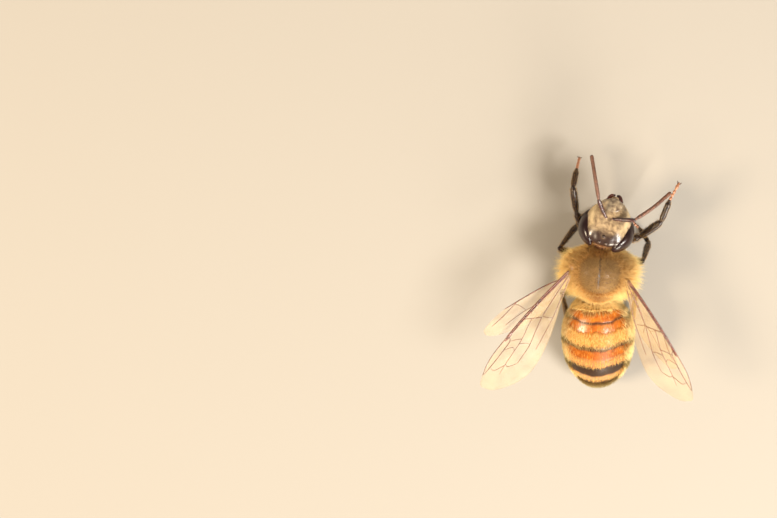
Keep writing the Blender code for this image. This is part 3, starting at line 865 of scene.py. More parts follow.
# %% The abdomen's line and form
RINGS = [f"abdomen_{number}" for number in range(1, 7)]
ring_ends = [meeting(*two) for two in zip(RINGS[:-1], RINGS[1:])]
tailward_here = (ring_ends[1] - ring_ends[0]).normalized()
first_reach = min((point - ring_ends[0]).dot(tailward_here) for point in corners(RINGS[0]))
waist = ring_ends[0] + tailward_here * first_reach
tail = far_end(RINGS[-1], ring_ends[0])
abdomen_path = smooth_path([waist, *ring_ends, tail], 120)
stretches = np.linalg.norm(np.diff(abdomen_path, axis=0), axis=1)
solid_length = stretches.sum() / MM
stations = np.concatenate([[0], np.cumsum(stretches)]) / MM
ring_marks = [0.0] + [float(stations[np.argmin(np.linalg.norm(abdomen_path - np.array(end), axis=1))])
                      for end in ring_ends]
low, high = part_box("abdomen_3")
ABDOMEN_COAT = 0.36
ABDOMEN_FLAT, BELLY_FLAT = 0.8, 0.94      # height of the back for its width, and the belly's for that
TAIL_HAIR = 0.12
bare_half_width = (high.x - low.x) / 2 / MM - ABDOMEN_COAT
bare_length = solid_length - TAIL_HAIR
WIDEST = 2.6
print("abdomen, mm:", round(bare_half_width, 2), round(bare_length, 2), np.round(ring_marks, 2))


def half_width(s):
    """Half the bare abdomen's width, in millimetres, s millimetres behind the waist."""
    reach = np.where(s < WIDEST, WIDEST + 0.15, bare_length - WIDEST)
    share = np.clip(np.abs(s - WIDEST) / reach, 0, 1)
    return bare_half_width * (1 - share**2.2) ** 0.55


def abdomen_point(s, angle, lift):
    """A point on the abdomen, s along it, at an angle up from its left side, lifted off it."""
    point, direction = along(abdomen_path, s / solid_length)
    left = unit(np.cross(np.cross(direction, [1.0, 0, 0]), direction))
    up = np.cross(left, direction)
    up *= np.sign(up[:, 2:])
    size = half_width(s) + lift
    roof = np.where(np.sin(angle) < 0, ABDOMEN_FLAT * BELLY_FLAT, ABDOMEN_FLAT)
    aside = left * (np.cos(angle) * size * MM)[:, None]
    return point + aside + up * (np.sin(angle) * size * roof * MM)[:, None]


# %% [markdown]
# ## Bands
# The plates are orange with dark bands across them. The fourth band is broad and nearly bare, the
# plates turn cream in front of it and behind it, and the last band covers the tail. Plates and
# hair take their dark share from the same function of the place, so the bands run through both.

# %% Band functions
DARK_BANDS = ((0.2, 0.75, 0.6), (1.08, 1.28, 0.85), (2.62, 3.02, 0.9), (4.2, 5.0, 1.0), (5.75, 7.2, 0.9))
BROAD_BAND = DARK_BANDS[3]
PALE_BANDS = ((3.6, 4.2, 0.6), (5.0, 5.75, 1.0))
SIDE_SWEEP = 0.15            # how far forward the bands run down the sides
EDGE = 0.09


def banded(s, angle, bands):
    """How far the place is inside one of the bands, from 0 to 1; the edges waver a little."""
    waver = 0.05 * np.sin(3 * angle + 0.5) + 0.035 * np.sin(7 * angle + 2 + s) + 0.02 * np.sin(17 * angle)
    place = s + waver + SIDE_SWEEP * (1 - np.abs(np.sin(angle)))
    share = np.zeros_like(s)
    for front, back, strength in bands:
        inside = step(front - EDGE, front + EDGE, place) * (1 - step(back - EDGE, back + EDGE, place))
        share = np.maximum(share, inside * strength)
    return share


def dark_share(s, angle):
    return banded(s, angle, DARK_BANDS) * step(-0.75, -0.2, np.sin(angle))


def pale_share(s, angle):
    return np.maximum(banded(s, angle, PALE_BANDS), 0.7 * step(-0.3, -0.8, np.sin(angle)))


# %% [markdown]
# ## Plates
# All six drums come from one formula. Only the stations where they start and end differ, and the
# last one closes in the tail. The first three are glossy like varnish, the other three duller.

# %% Abdomen plates
PLATE_FINENESS = (112, 72)
LAP = 0.4                   # how far each plate reaches in under the one before it
LIP = 0.045                 # how far a plate's rear edge rounds over
PLATE_CAP = 0.12            # share of a plate's rings that close each end
PLATE_SINK, PLATE_FLARE = 0.075, 0.1      # how deep a plate starts and how much it rises to its rear
LAST_FLARE, BELLY_SINK = 0.4, 0.05        # the last plate's share of that rise; how far the belly sinks
FIRST_DULL = 3              # from this plate on the shell is duller
PLATE_MARKS = (("pale", (0.30, 0.18, 0.075)), ("dark", (0.032, 0.014, 0.006)))
plate_paint = shell_material(
    "abdomen_plate", ((0.33, 0.075, 0.004), (0.58, 0.17, 0.012)),
    roughness=0.24, grain=24000, relief=0.008, varnish=0.75,
    marks=PLATE_MARKS)
rear_paint = shell_material(
    "abdomen_rear_plate", ((0.22, 0.046, 0.002), (0.40, 0.105, 0.006)),
    roughness=0.42, grain=24000, relief=0.008, varnish=0.15,
    marks=PLATE_MARKS, shine=0.2)


def plate_wall(ball, front, back, last):
    """A drum whose wall runs from front to back, as stations, angles and lifts.

    The last one closes in the tail.
    """
    turn = np.arccos(np.clip(-ball[:, 2], -1, 1)) / math.pi
    angle = np.arctan2(ball[:, 1], ball[:, 0])
    share = np.clip((turn - PLATE_CAP) / ((1 if last else 1 - PLATE_CAP) - PLATE_CAP), 0, 1)
    if last:
        share = np.sin(share * math.pi / 2) ** 0.9
    s = front + (back - front) * share
    lift = -PLATE_SINK + PLATE_FLARE * step(0.1, 0.95, share) * (LAST_FLARE if last else 1)
    lift -= BELLY_SINK * step(-0.25, -0.4, np.sin(angle))
    near, far = (np.sin(np.clip(way / PLATE_CAP, 0, 1) * math.pi / 2) for way in (turn, 1 - turn))
    far = np.ones_like(near) if last else far**0.3
    size = half_width(s) + lift
    lift = size * near * far - half_width(s)
    return s - LIP * (1 - far), angle, lift


for number, (node, back) in enumerate(zip(RINGS, [*ring_marks[1:], bare_length])):
    front = ring_marks[number] - (LAP if number else -0.02)
    drum = (front, back, node == RINGS[-1])
    piece = shell(f"abdomen_plate_{number + 1}", *PLATE_FINENESS,
                  lambda ball, drum=drum: abdomen_point(*plate_wall(ball, *drum)),
                  (("dark", lambda ball, drum=drum: dark_share(*plate_wall(ball, *drum)[:2])),
                   ("pale", lambda ball, drum=drum: pale_share(*plate_wall(ball, *drum)[:2]))))
    keep(piece, rear_paint if number >= FIRST_DULL else plate_paint, "abdomen_plates", node)
print("abdomen plates:", len(RINGS))

# %% [markdown]
# ## Legs
# A bee's leg has a short hip and collar under the thorax, a thigh, a shin, a long first foot
# joint and four small ones, and ends in two claws with a sticky pad between them. The hind shins
# are broad and flat: their shiny outer faces are the pollen baskets. The solids' joints say where
# each length starts. The feet are thinner than their solids, so they sink until they touch the
# floor.

# %% Leg sizes
LEGS = [(pair, name) for pair in ("foreleg", "midleg", "hindleg") for _, name in SIDES]
SHAPES = {
    "foreleg": (((0, 0.14), (0.2, 0.22), (0.55, 0.28), (0.9, 0.24), (1, 0.15)),
                ((0, 0.15), (0.3, 0.25), (0.7, 0.27), (0.92, 0.23), (1, 0.15)),
                ((0, 0.13), (0.2, 0.2), (0.8, 0.2), (1, 0.12))),
    "midleg": (((0, 0.14), (0.2, 0.21), (0.55, 0.27), (0.9, 0.2), (1, 0.14)),
               ((0, 0.13), (0.4, 0.22), (0.8, 0.27), (1, 0.17)),
               ((0, 0.12), (0.2, 0.2), (0.8, 0.19), (1, 0.12))),
    "hindleg": (((0, 0.13), (0.3, 0.23), (0.6, 0.27), (0.9, 0.2), (1, 0.14)),
                ((0, 0.12), (0.3, 0.24), (0.75, 0.42), (0.95, 0.44), (1, 0.3)),
                ((0, 0.26), (0.1, 0.38), (0.8, 0.36), (1, 0.2))),
}
FLATS = {"foreleg": (0.9, 0.85, 0.8), "midleg": (0.85, 0.8, 0.7), "hindleg": (0.75, 0.42, 0.42)}
FOOT_NECK, FOOT_SWELL = 0.075, 0.05      # radius between the foot's joints, and how much they swell
FOOT_JOINTS = (0, 0.22, 0.42, 0.62, 1)
LEG_PARTS = (("femur", "thigh", 24, 40), ("tibia", "shin", 28, 44), ("basitarsus", "heel", 28, 40))
HIP_RADII = ((0, 0.34), (0.5, 0.36), (0.8, 0.2), (0.9, 0.23), (1, 0.15))
CLAW_RADII = ((0, 0.045), (0.5, 0.032), (1, 0.008))
CLAW = ((-0.06, 0, 0), (0.07, 0.1, 0), (0.17, 0.15, 0.03), (0.2, 0.14, 0.085))      # ahead, aside, down
STANDING, HEEL_HEIGHT, TOE_HEIGHT = 1.0, 0.2, 0.105      # toes below the first stand on the floor
KNOBS = (("knee", 0.13), ("ankle", 0.11))
PAD_SIZES, PAD_AHEAD, FOOT_FLAT = (0.06, 0.07, 0.05), 0.07, 0.85
HIP_REACH, HIP_DROP = 0.45, 0.1      # how far the hip runs towards the thorax, and how it sags
LEG_SOURCE = 1.2                     # the hips run towards a point this far under the thorax's middle
leg_paint = shell_material(
    "leg_shell", ((0.008, 0.004, 0.003), (0.035, 0.016, 0.009)),
    roughness=0.3, grain=34000, relief=0.007, shine=0.3)
foot_paint = shell_material("foot_shell", ((0.20, 0.07, 0.035), (0.50, 0.23, 0.12)),
                            roughness=0.38, grain=34000, relief=0.006)
claw_paint = shell_material("claw", ((0.02, 0.01, 0.007), (0.12, 0.05, 0.02)),
                            roughness=0.25, grain=60000, relief=0.003)


def foot_radius(share):
    """Four small heart-shaped joints in a row."""
    size = np.full_like(share, FOOT_NECK)
    for start, end in zip(FOOT_JOINTS[:-1], FOOT_JOINTS[1:]):
        within = np.clip((share - start) / (end - start), 0, 1)
        swell = FOOT_SWELL * np.sin(within**1.6 * math.pi) ** 0.8
        size = size + np.where((share >= start) & (share <= end), swell, 0)
    return size


def lowered(point, height):
    """A joint of a standing leg, sunk to the height where the thinner leg rests."""
    return Vector((point.x, point.y, height * MM))


# %% [markdown]
# ## Six legs from one loop
# The legs differ only in their places and in the tables above. Each length is a tube between two
# joints, turned so that its broad side lies as the solid's does, and small knobs close the knees
# and ankles.

# %% Legs
leg_points = {}
for pair, name in LEGS:
    leg = f"{pair}_{name}"
    nodes = [f"{leg}_{part}" for part in ("femur", "tibia", "basitarsus", "tarsus")]
    knee, ankle, heel = (meeting(*two) for two in zip(nodes[:-1], nodes[1:]))
    toe = far_end(nodes[3], heel)
    hip = far_end(nodes[0], knee)
    if toe.z < STANDING * MM:
        heel = lowered(heel, HEEL_HEIGHT)
        toe = lowered(toe, TOE_HEIGHT)
    joints = (hip, knee, ankle, heel, toe)
    leg_points[leg] = joints
    for number, (_, title, segments, rings) in enumerate(LEG_PARTS):
        tube = limb(f"{leg}_{title}", joints[number:number + 2], profile(*SHAPES[pair][number]),
                    own_axes(nodes[number])[:, 1], FLATS[pair][number], segments, rings)
        keep(tube, leg_paint, "leg", nodes[number])
    foot = limb(leg + "_foot", [heel, toe], foot_radius, UP, FOOT_FLAT, 20, 96)
    keep(foot, foot_paint, "leg", nodes[3])
    for spot, (title, size) in zip((knee, ankle), KNOBS):
        dome(f"{leg}_{title}", spot, (size, size, size), FACE_AXES, leg_paint, "leg", 20, 14)
    inner = hip + (thorax_centre - UP * LEG_SOURCE * MM - hip) * HIP_REACH
    collar = limb(leg + "_hip", [inner, (inner + hip) / 2 - UP * HIP_DROP * MM, hip],
                  profile(*HIP_RADII), segments=24, rings=36)
    keep(collar, leg_paint, "leg")
    ahead = (toe - heel).normalized()
    sideways = ahead.cross(UP).normalized()
    down = sideways.cross(ahead)
    down = down if down.z < 0 else -down
    for turn_to, title in ((1, "a"), (-1, "b")):
        bend = [toe + (ahead * a + sideways * b * turn_to + down * c) * MM for a, b, c in CLAW]
        claw = limb(f"{leg}_claw_{title}", bend, profile(*CLAW_RADII), segments=12, rings=28)
        keep(claw, claw_paint, "leg")
    dome(leg + "_pad", toe + ahead * PAD_AHEAD * MM, PAD_SIZES, (sideways, ahead, down), foot_paint,
         "leg", 16, 12)
print("legs:", len(leg_points))

# %% [markdown]
# ## Wings
# A wing is a film as thin as a soap bubble, stiffened by hollow tubes, the veins. The front edge
# carries the strongest ones, and the cells between the others have a pattern that is the same in
# every honey bee. The film is a flat grid whose rows are pulled out between the wing's front and
# rear outlines, then given its thickness. Each vein is a thin tube laid through a few points.

# %% The wings' planes
FORE_TIPS = {"left": at(8.16, 7.5, 6.1), "right": at(-6.4, 8.9, 4.8)}
FORE_TURNS = {"left": 12, "right": 28}                 # how far the rear edge turns down, degrees
FORE_WIDTH, HIND_WIDTH, HIND_LENGTH, LAYERS = 3.0, 1.8, 6.5, 0.6
HIND_PLACES = {"left": (18, 0.7, 0.2), "right": (0, 0.9, 0.45)}      # swing, then along and back
FORE_SET_BACK, HIND_SET_BACK = 0.3, 0.48
CAMBER, PLEATS = 0.12, 0.025      # how high the film arches and ripples
FORE_FRONT = ((0, -0.04), (0.3, -0.06), (0.6, -0.04), (0.84, 0.07), (0.97, 0.24), (1, 0.36))
FORE_REAR = ((0, 0.12), (0.2, 0.38), (0.42, 0.72), (0.66, 0.97), (0.82, 0.93), (0.96, 0.64), (1, 0.36))
HIND_FRONT = ((0, -0.08), (0.32, -0.1), (0.62, -0.04), (0.86, 0.14), (0.98, 0.34), (1, 0.48))
HIND_REAR = ((0, 0.2), (0.2, 0.6), (0.44, 0.9), (0.68, 0.94), (0.9, 0.78), (0.98, 0.62), (1, 0.48))


def wing_planes(name):
    """The planes of a side's two wings: each is its length and its way along, back and up."""
    side = 1 if name == "left" else -1
    hinge, tip = FORE_HINGES[name], FORE_TIPS[name]
    way = (tip - hinge).normalized()
    up = (Vector((0, 0, 1)) - way * way.z).normalized()
    back = up.cross(way) * side
    turned = Matrix.Rotation(-side * math.radians(FORE_TURNS[name]), 3, way)
    plane = Matrix((way, turned @ back, turned @ up)).transposed()
    swing, ahead, behind = HIND_PLACES[name]
    start = hinge + plane @ Vector((ahead, behind, -LAYERS)) * MM
    hind = plane @ Matrix.Rotation(-math.radians(swing), 3, "Z")
    return {"forewing": (hinge, (tip - hinge).length / MM, FORE_WIDTH, FORE_SET_BACK, plane),
            "hindwing": (start, HIND_LENGTH, HIND_WIDTH, HIND_SET_BACK, hind)}


def on_wing(wing, x, y, lift):
    """Points of a wing at shares of its length and width, lifted by millimetres."""
    start, length, width, set_back, plane = wing
    camber = CAMBER * np.sin(np.clip(y, 0, 1) * math.pi) * np.sin(np.clip(x, 0, 1) * math.pi)
    pleat = PLEATS * np.sin(y * 14 + x * 6) * np.clip(x * 3, 0, 1)
    local = np.stack([x * length, (y - set_back * x) * width, camber + pleat + lift], 1)
    return np.array(start) + (local @ np.array(plane).T) * MM


def flat_path(points, count):
    """A smooth line through points of a wing, as shares of its length and width."""
    return smooth_path([(x, y, 0) for x, y in points], count)[:, :2]


# %% [markdown]
# ## Film
# A wing's film is nearly clear, with a warm stain, so most light passes through its material. It
# could be a single sheet, but a closed film about a hundredth of a millimetre thick has a true
# inside and outside, which other programs need.

# %% Wing film
FILM_THICKNESS, VEIN_LIFT, STIGMA_LIFT = 0.012, 0.008, 0.01
FILM_FINENESS, EDGE_POINTS = (96, 36), 160
film_paint, film_tree, film_shader = new_material("wing_film", {"Roughness": 0.22, "Alpha": 0.16})
add_grain(film_tree, film_shader, ((0.42, 0.24, 0.07), (0.70, 0.48, 0.20)),
          grain=9000, relief=0.02, pits=0.3)


def wing_film(name, wing, front, rear):
    """A closed film between a wing's two outlines."""
    clear_selection()
    columns, lines = FILM_FINENESS
    bpy.ops.mesh.primitive_grid_add(x_subdivisions=columns, y_subdivisions=lines, size=2)
    film = bpy.context.object
    film.name = film.data.name = name
    points = read_points(film)
    along_share, back_share = (points[:, 0] + 1) / 2, (points[:, 1] + 1) / 2
    rows = np.linspace(0, 1, EDGE_POINTS)
    edges = [np.stack([np.interp(along_share, rows, edge[:, k]) for k in (0, 1)], 1)
             for edge in (flat_path(front, EDGE_POINTS), flat_path(rear, EDGE_POINTS))]
    place = edges[0] + (edges[1] - edges[0]) * back_share[:, None]
    write_points(film, on_wing(wing, place[:, 0], place[:, 1], 0))
    wall = film.modifiers.new("film", "SOLIDIFY")
    wall.thickness = FILM_THICKNESS * MM
    wall.offset = 0
    bpy.ops.object.modifier_apply(modifier="film")
    bpy.ops.object.mode_set(mode="EDIT")
    bpy.ops.mesh.select_all(action="SELECT")
    bpy.ops.mesh.remove_doubles(threshold=1e-7)
    bpy.ops.object.mode_set(mode="OBJECT")
    outward(film)
    bpy.ops.object.shade_smooth()
    return film


# %% [markdown]
# ## Veins
# The veins are named after the real ones. Each is a thickness and a few points, given as shares
# of the wing's length and width, so the same table serves both wings of a pair.

# %% Vein tables
FORE_VEINS = (
    (0.065, ((0.0, 0.0), (0.2, -0.035), (0.4, -0.045), (0.56, -0.03), (0.63, -0.01))),      # costa
    (0.055, ((0.01, 0.04), (0.2, 0.005), (0.42, -0.005), (0.58, 0.01), (0.64, 0.02))),      # radius
    (0.028, ((0.62, -0.01), (0.76, 0.02), (0.86, 0.09), (0.93, 0.18))),
    (0.028, ((0.60, 0.02), (0.62, 0.10), (0.70, 0.135), (0.84, 0.17), (0.93, 0.18))),
    (0.036, ((0.01, 0.07), (0.18, 0.16), (0.36, 0.27))),                                   # median
    (0.028, ((0.36, 0.27), (0.40, 0.14), (0.44, 0.0))),
    (0.025, ((0.36, 0.27), (0.48, 0.40), (0.58, 0.52), (0.74, 0.60))),                     # cubitus
    (0.021, ((0.35, 0.27), (0.34, 0.36), (0.32, 0.46))),
    (0.027, ((0.01, 0.10), (0.17, 0.30), (0.32, 0.47), (0.48, 0.62), (0.58, 0.70))),       # anal
    (0.023, ((0.405, 0.12), (0.48, 0.19), (0.56, 0.27), (0.66, 0.33), (0.78, 0.40), (0.87, 0.47))),
    (0.023, ((0.56, 0.27), (0.585, 0.19), (0.62, 0.11))),
    (0.020, ((0.60, 0.30), (0.57, 0.40), (0.56, 0.50))),
    (0.020, ((0.77, 0.395), (0.775, 0.48), (0.72, 0.59))),
    (0.021, ((0.66, 0.33), (0.645, 0.24), (0.70, 0.135))),
    (0.021, ((0.78, 0.40), (0.85, 0.30), (0.85, 0.175))),
)
HIND_VEINS = (
    (0.045, ((0.0, 0.0), (0.2, -0.07), (0.4, -0.07), (0.6, -0.03), (0.68, 0.0))),
    (0.028, ((0.52, -0.05), (0.66, 0.12), (0.82, 0.28), (0.9, 0.36))),
    (0.036, ((0.01, 0.06), (0.2, 0.22), (0.4, 0.40))),
    (0.021, ((0.4, 0.40), (0.55, 0.42), (0.78, 0.56))),
    (0.020, ((0.56, -0.02), (0.52, 0.2), (0.5, 0.42))),
    (0.021, ((0.4, 0.40), (0.46, 0.58), (0.5, 0.72))),
    (0.021, ((0.01, 0.12), (0.16, 0.38), (0.28, 0.62))),
)
WINGS = (("forewing", FORE_FRONT, FORE_REAR, FORE_VEINS), ("hindwing", HIND_FRONT, HIND_REAR, HIND_VEINS))
STIGMA = ((0.55, 0.0), (0.6, 0.005), (0.655, 0.03))      # a dark spot on the front edge
STIGMA_RADII = ((0, 0.03), (0.4, 0.11), (0.8, 0.09), (1, 0.02))
vein_paint = shell_material(
    "vein", ((0.06, 0.020, 0.016), (0.22, 0.08, 0.05)),
    roughness=0.26, grain=40000, relief=0.004, varnish=0.8)


def wing_tube(name, wing, points, count, lift, *form):
    """A tube on a wing, through points given as shares."""
    path = flat_path(points, count)
    laid = on_wing(wing, path[:, 0], path[:, 1], lift)
    return limb(name, [Vector(point) for point in laid[::2]], *form)


def wing_veins(name, wing, veins):
    """All the veins of one wing as one piece of joined tubes."""
    tubes = []
    for number, (thickness, points) in enumerate(veins):
        radii = profile((0, thickness), (0.75, thickness * 0.85), (1, thickness * 0.65))
        tubes.append(wing_tube(f"{name}_{number}", wing, points, 24, VEIN_LIFT, radii, UP, 1, 8, 40))
    if veins is FORE_VEINS:
        tubes.append(wing_tube(name + "_stigma", wing, STIGMA, 12, STIGMA_LIFT, profile(*STIGMA_RADII),
                               wing[4].col[1], 0.5, 12, 30))
    clear_selection()
    for tube in tubes:
        tube.select_set(True)
    bpy.context.view_layer.objects.active = tubes[0]
    bpy.ops.object.join()
    joined = bpy.context.object
    joined.name = joined.data.name = name
    return joined


for _, name in SIDES:
    planes = wing_planes(name)
    for wing, front, rear, veins in WINGS:
        film = wing_film(f"{wing}_film_{name}", planes[wing], front, rear)
        keep(film, film_paint, "wing", f"{wing}_{name}")
        keep(wing_veins(f"{wing}_veins_{name}", planes[wing], veins), vein_paint, "wing")
print("wings done")

# %% [markdown]
# ## Hair
# A bee's fur is a coat of fine branched hairs, golden where it is fresh. Blender has particle
# hair, but other programs can't read it, so each hair here is a real, closed spike: a three-sided
# base, a bend in the middle and a point. NumPy works out all of them at once. Neighbouring hairs
# share a slow drift in their direction, which gathers them into loose locks.

# %% Grow spikes
rng = np.random.default_rng(7)
HAIR_SINK = 0.04      # how deep a hair's root sits in the shell
HAIR_TAPER = 0.75     # how wide a hair still is at its bend
PATCH = 0.003         # width of a hair's patch of the bake map
PATCH_CORNERS = ((0, 0), (0.5, 0), (1, 0), (0, 0.5), (0.5, 0.5), (1, 0.5), (0.5, 1))      # of that patch


def drift(points, size, seed):
    """A slow random direction that changes over size millimetres."""
    waves = np.random.default_rng(seed)
    field = np.zeros_like(points)
    for _ in range(5):
        wave = unit(waves.normal(size=(1, 3)))[0] * (2 * math.pi / (size * MM)) * waves.uniform(0.6, 1.6)
        field += np.sin(points @ wave + waves.uniform(0, 6.3))[:, None] * waves.normal(size=3)
    return field / 3


def spikes(name, roots, ways, tips, lengths, width, uv, marks, material, slot):
    """Hairs as one mesh: each leaves its root along ways and bends towards tips."""
    count = len(roots)
    aside = unit(np.cross(ways, rng.normal(size=(count, 3))))
    across = np.cross(ways, aside)
    length = (lengths * MM)[:, None]
    width = np.broadcast_to(np.asarray(width, float), count)[:, None] * MM
    low = roots - ways * HAIR_SINK * MM
    bend = roots + ways * length * 0.5
    end = bend + unit(ways + tips) * length * 0.5
    points = np.empty((count, 7, 3))
    faces = [(0, 2, 1)]
    for corner in range(3):
        turn = corner * 2 * math.pi / 3
        out = aside * math.cos(turn) + across * math.sin(turn)
        points[:, corner] = low + out * width
        points[:, 3 + corner] = bend + out * width * HAIR_TAPER
        after = (corner + 1) % 3
        faces += [(corner, after, 3 + after), (corner, 3 + after, 3 + corner), (3 + corner, 3 + after, 6)]
    points[:, 6] = end
    faces = (np.array(faces)[None] + 7 * np.arange(count)[:, None, None]).reshape(-1, 3)
    mesh = bpy.data.meshes.new(name)
    mesh.vertices.add(count * 7)
    mesh.vertices.foreach_set("co", points.astype(np.float32).ravel())
    mesh.loops.add(faces.size)
    mesh.loops.foreach_set("vertex_index", faces.astype(np.int32).ravel())
    mesh.polygons.add(len(faces))
    mesh.polygons.foreach_set("loop_start", np.arange(0, faces.size, 3, dtype=np.int32))
    mesh.polygons.foreach_set("use_smooth", np.ones(len(faces), bool))
    patch = np.tile(PATCH_CORNERS, (count, 1))
    place = (np.repeat(uv * (1 - PATCH), 7, axis=0) + patch * PATCH)[faces.ravel()]
    bake_map = mesh.uv_layers.new(name="OFBake")
    bake_map.data.foreach_set("uv", place.astype(np.float32).ravel())
    mesh.update()
    piece = bpy.data.objects.new(name, mesh)
    bpy.context.scene.collection.objects.link(piece)
    mark(piece, "rise", patch[:, 1])
    for title, values in {"tint": rng.random(count), **marks}.items():
        mark(piece, title, np.repeat(values, 7))
    return keep(piece, material, slot)


def coat_uv(u):
    """The place of a root on the unwrap of a ball: round it, and up it."""
    return np.stack([np.arctan2(u[:, 1], u[:, 0]) / (2 * math.pi) + 0.5, (u[:, 2] + 1) / 2], 1)


def ball_roots(count, surface, accept, seed):
    """Roots spread over a shell: points of the ball, and their places and normals on the shell."""
    spread = np.random.default_rng(seed)
    found = []
    while sum(map(len, found)) < count:
        u = unit(spread.normal(size=(count, 3)))
        found.append(u[spread.random(count) < accept(u)])
    u = np.concatenate(found)[:count]
    across = unit(np.cross(u, unit(spread.normal(size=(count, 3)))))
    beside = np.cross(u, across)
    tiny = 0.002
    here = surface(u)
    normal = unit(np.cross(surface(unit(u + across * tiny)) - here, surface(unit(u + beside * tiny)) - here))
    return u, here, normal * np.sign(dots(normal, here - here.mean(0)))


def gathered(here, ways, lengths, locks, pull, seed):
    """Leans each hair towards the tip of the nearest of some locks; gives the ways and the locks."""
    chosen = np.random.default_rng(seed).choice(len(here), locks, replace=False)
    reach = lengths[:, None] * MM
    tips = here[chosen] + ways[chosen] * reach[chosen]
    tree = KDTree(locks)
    for number, spot in enumerate(here[chosen]):
        tree.insert(spot, number)
    tree.balance()
    nearest = np.array([tree.find(spot)[1] for spot in here])
    aim = unit(tips[nearest] - here)
    return unit(ways * (1 - pull) + aim * pull), nearest


def combed(normal, way, lie):
    """A direction between standing up and lying flat along a way over the surface."""
    flat = unit(way - normal * dots(way, normal))
    lie = np.reshape(lie, (-1, 1))
    return unit(normal * (1 - lie) + flat * lie)


# %% [markdown]
# ## Coat of the thorax
# The thorax wears a long golden ruff at its sides, its front and over the waist, while the
# middle of its back is nearly bare, with short hairs that let the dark shell show through.

# %% Thorax coat
LOCK, LOCK_PULL = 7, 0.34                                # hairs in a lock, how far they lean together
CLOUD_TINT, LOCK_TINT, OWN_TINT = 0.4, 0.35, 0.25        # where a hair's shade comes from
RUFFS = ((17000, 0.8, 0.010), (15000, 1.0, 0.011), (9000, 1.28, 0.010))      # hairs, times the length, width
DISC_HAIRS, DISC_HAIR_WIDTH = 12000, 0.008
TAILWARD = THORAX_TURN @ np.array((0.0, 1.0, 0.0))
# The dark pair gives reddish collar hair; behind the neck it is also painted shade cast by the head.
gold_hair = hair_material("gold_hair", (0.95, 0.38, 0.045), (1.0, 0.83, 0.37), 0.3,
                          ((0.20, 0.06, 0.012), (0.60, 0.26, 0.06)))
short_hair = hair_material("short_hair", (0.18, 0.092, 0.03), (0.62, 0.38, 0.14), 0.5,
                           ((0.14, 0.042, 0.005), (0.54, 0.19, 0.012)))


def thorax_coat(name, count, seed, accept, length, lie, dark, material, width):
    """One layer of the thorax's hair; length, lie and dark are functions of the root's place."""
    u, here, normal = ball_roots(count, thorax_surface, accept, seed)
    own = np.random.default_rng(seed + 1)
    spread_out = unit(u * (1, 1, 0)) @ THORAX_TURN.T
    way = TAILWARD * 0.3 + spread_out + drift(here, size=0.8, seed=3) * 0.2
    stray = own.normal(size=here.shape) * 0.1 + drift(here, size=0.3, seed=5) * 0.15
    direction = unit(combed(normal, way, lie(u)) + stray)
    sizes = length(u) * (0.45 + 0.65 * own.random(count) ** 2)
    direction, lock = gathered(here, direction, sizes, count // LOCK, LOCK_PULL, seed + 2)
    tips = way * 0.3 + own.normal(size=here.shape) * 0.1
    clouds = np.clip(0.5 + 0.6 * drift(here, size=0.9, seed=33)[:, 0], 0, 1)
    shades = CLOUD_TINT * clouds + LOCK_TINT * own.random(count // LOCK)[lock] + OWN_TINT * own.random(count)
    marks = {"dark": dark(u), "tint": shades}
    return spikes(name, here, direction, tips, sizes, width, coat_uv(u), marks, material, "thorax_coat")


def ruff_length(u):
    """Long at the sides, over the waist and beside it, short round the disc and underneath."""
    x, y, z = u.T
    size = 0.42 + 0.62 * step(0.6, 0.98, np.abs(x)) + 0.32 * step(0.55, 0.95, y) - 0.16 * step(0.3, 0.8, -z)
    size += 0.25 * step(0.35, 0.7, y) * step(0.35, 0.7, np.abs(x))
    return size * (1 - 0.55 * disc_share(u))


def collar_and_neck_shade(u):
    """1 behind the neck, nearly that on the scutellum, 0.6 round the disc: reddish hair; behind the neck it
    is also painted shade of the head.
    """
    # Behind the neck the reddish hair is darkened further as painted shade of the head.
    neck = bump(u[:, 0], 0.05, 0.45) * step(0.35, 0.75, -u[:, 1])
    rear = 0.9 * bump(u[:, 0], 0.0, 0.48) * bump(u[:, 1], 0.55, 0.24)
    return np.maximum(np.maximum(neck, rear), 0.6 * bump(disc_reach(u), 0.9, 0.18))


def disc_edge(u):
    """1 along the rim of the disc and over the scutellum, where the short hair is brown."""
    return np.clip(0.9 * bump(disc_reach(u), 0.92, 0.14) + 0.9 * step(0.22, 0.5, u[:, 1]), 0, 1)


def ruff_share(u):
    """How thickly the long hair grows: not on the disc, and thinly on the scutellum."""
    return np.clip(1 - 1.06 * disc_share(u), 0, 1) * (1 - 0.6 * scutellum_share(u))


for number, (count, size, width) in enumerate(RUFFS):
    thorax_coat(f"thorax_ruff_{number + 1}", count, 20 + number, ruff_share,
                lambda u, size=size: size * ruff_length(u),
                lambda u: 0.62 - 0.42 * step(0.5, 0.9, np.abs(u[:, 0])), collar_and_neck_shade, gold_hair, width)
thorax_coat("thorax_disc_coat", DISC_HAIRS, 30, lambda u: disc_share(u) * (1 - 0.85 * middle_line(u)),
            lambda u: 0.15 + 0.22 * (1 - disc_share(u)), lambda u: 0.68, disc_edge,
            short_hair, DISC_HAIR_WIDTH)
print("thorax coat done")

# %% [markdown]
# ## Coat of the head
# The face is felted with hairs shorter than a tenth of a millimetre, pale as straw. The crown is
# nearly bare, and behind it the hairs are longer and stand up; there they are painted darker, as
# the shade where the head meets the thorax. The eyes stay clear.

# %% Head coat
HEAD_HAIRS, HEAD_SEED = 13000, 41
FACE_LENGTH, CROWN_EXTRA = 0.07, 0.34              # how much longer the hair is behind
FACE_WIDTH, CROWN_WIDER = 0.0042, 0.004            # and how much thicker
# The second pair of colours darkens the hair behind the head: painted shade where the head meets the thorax.
straw_hair = hair_material("straw_hair", (0.62, 0.44, 0.22), (1.0, 0.84, 0.52), 0.2,
                           ((0.12, 0.04, 0.015), (0.42, 0.19, 0.07)))


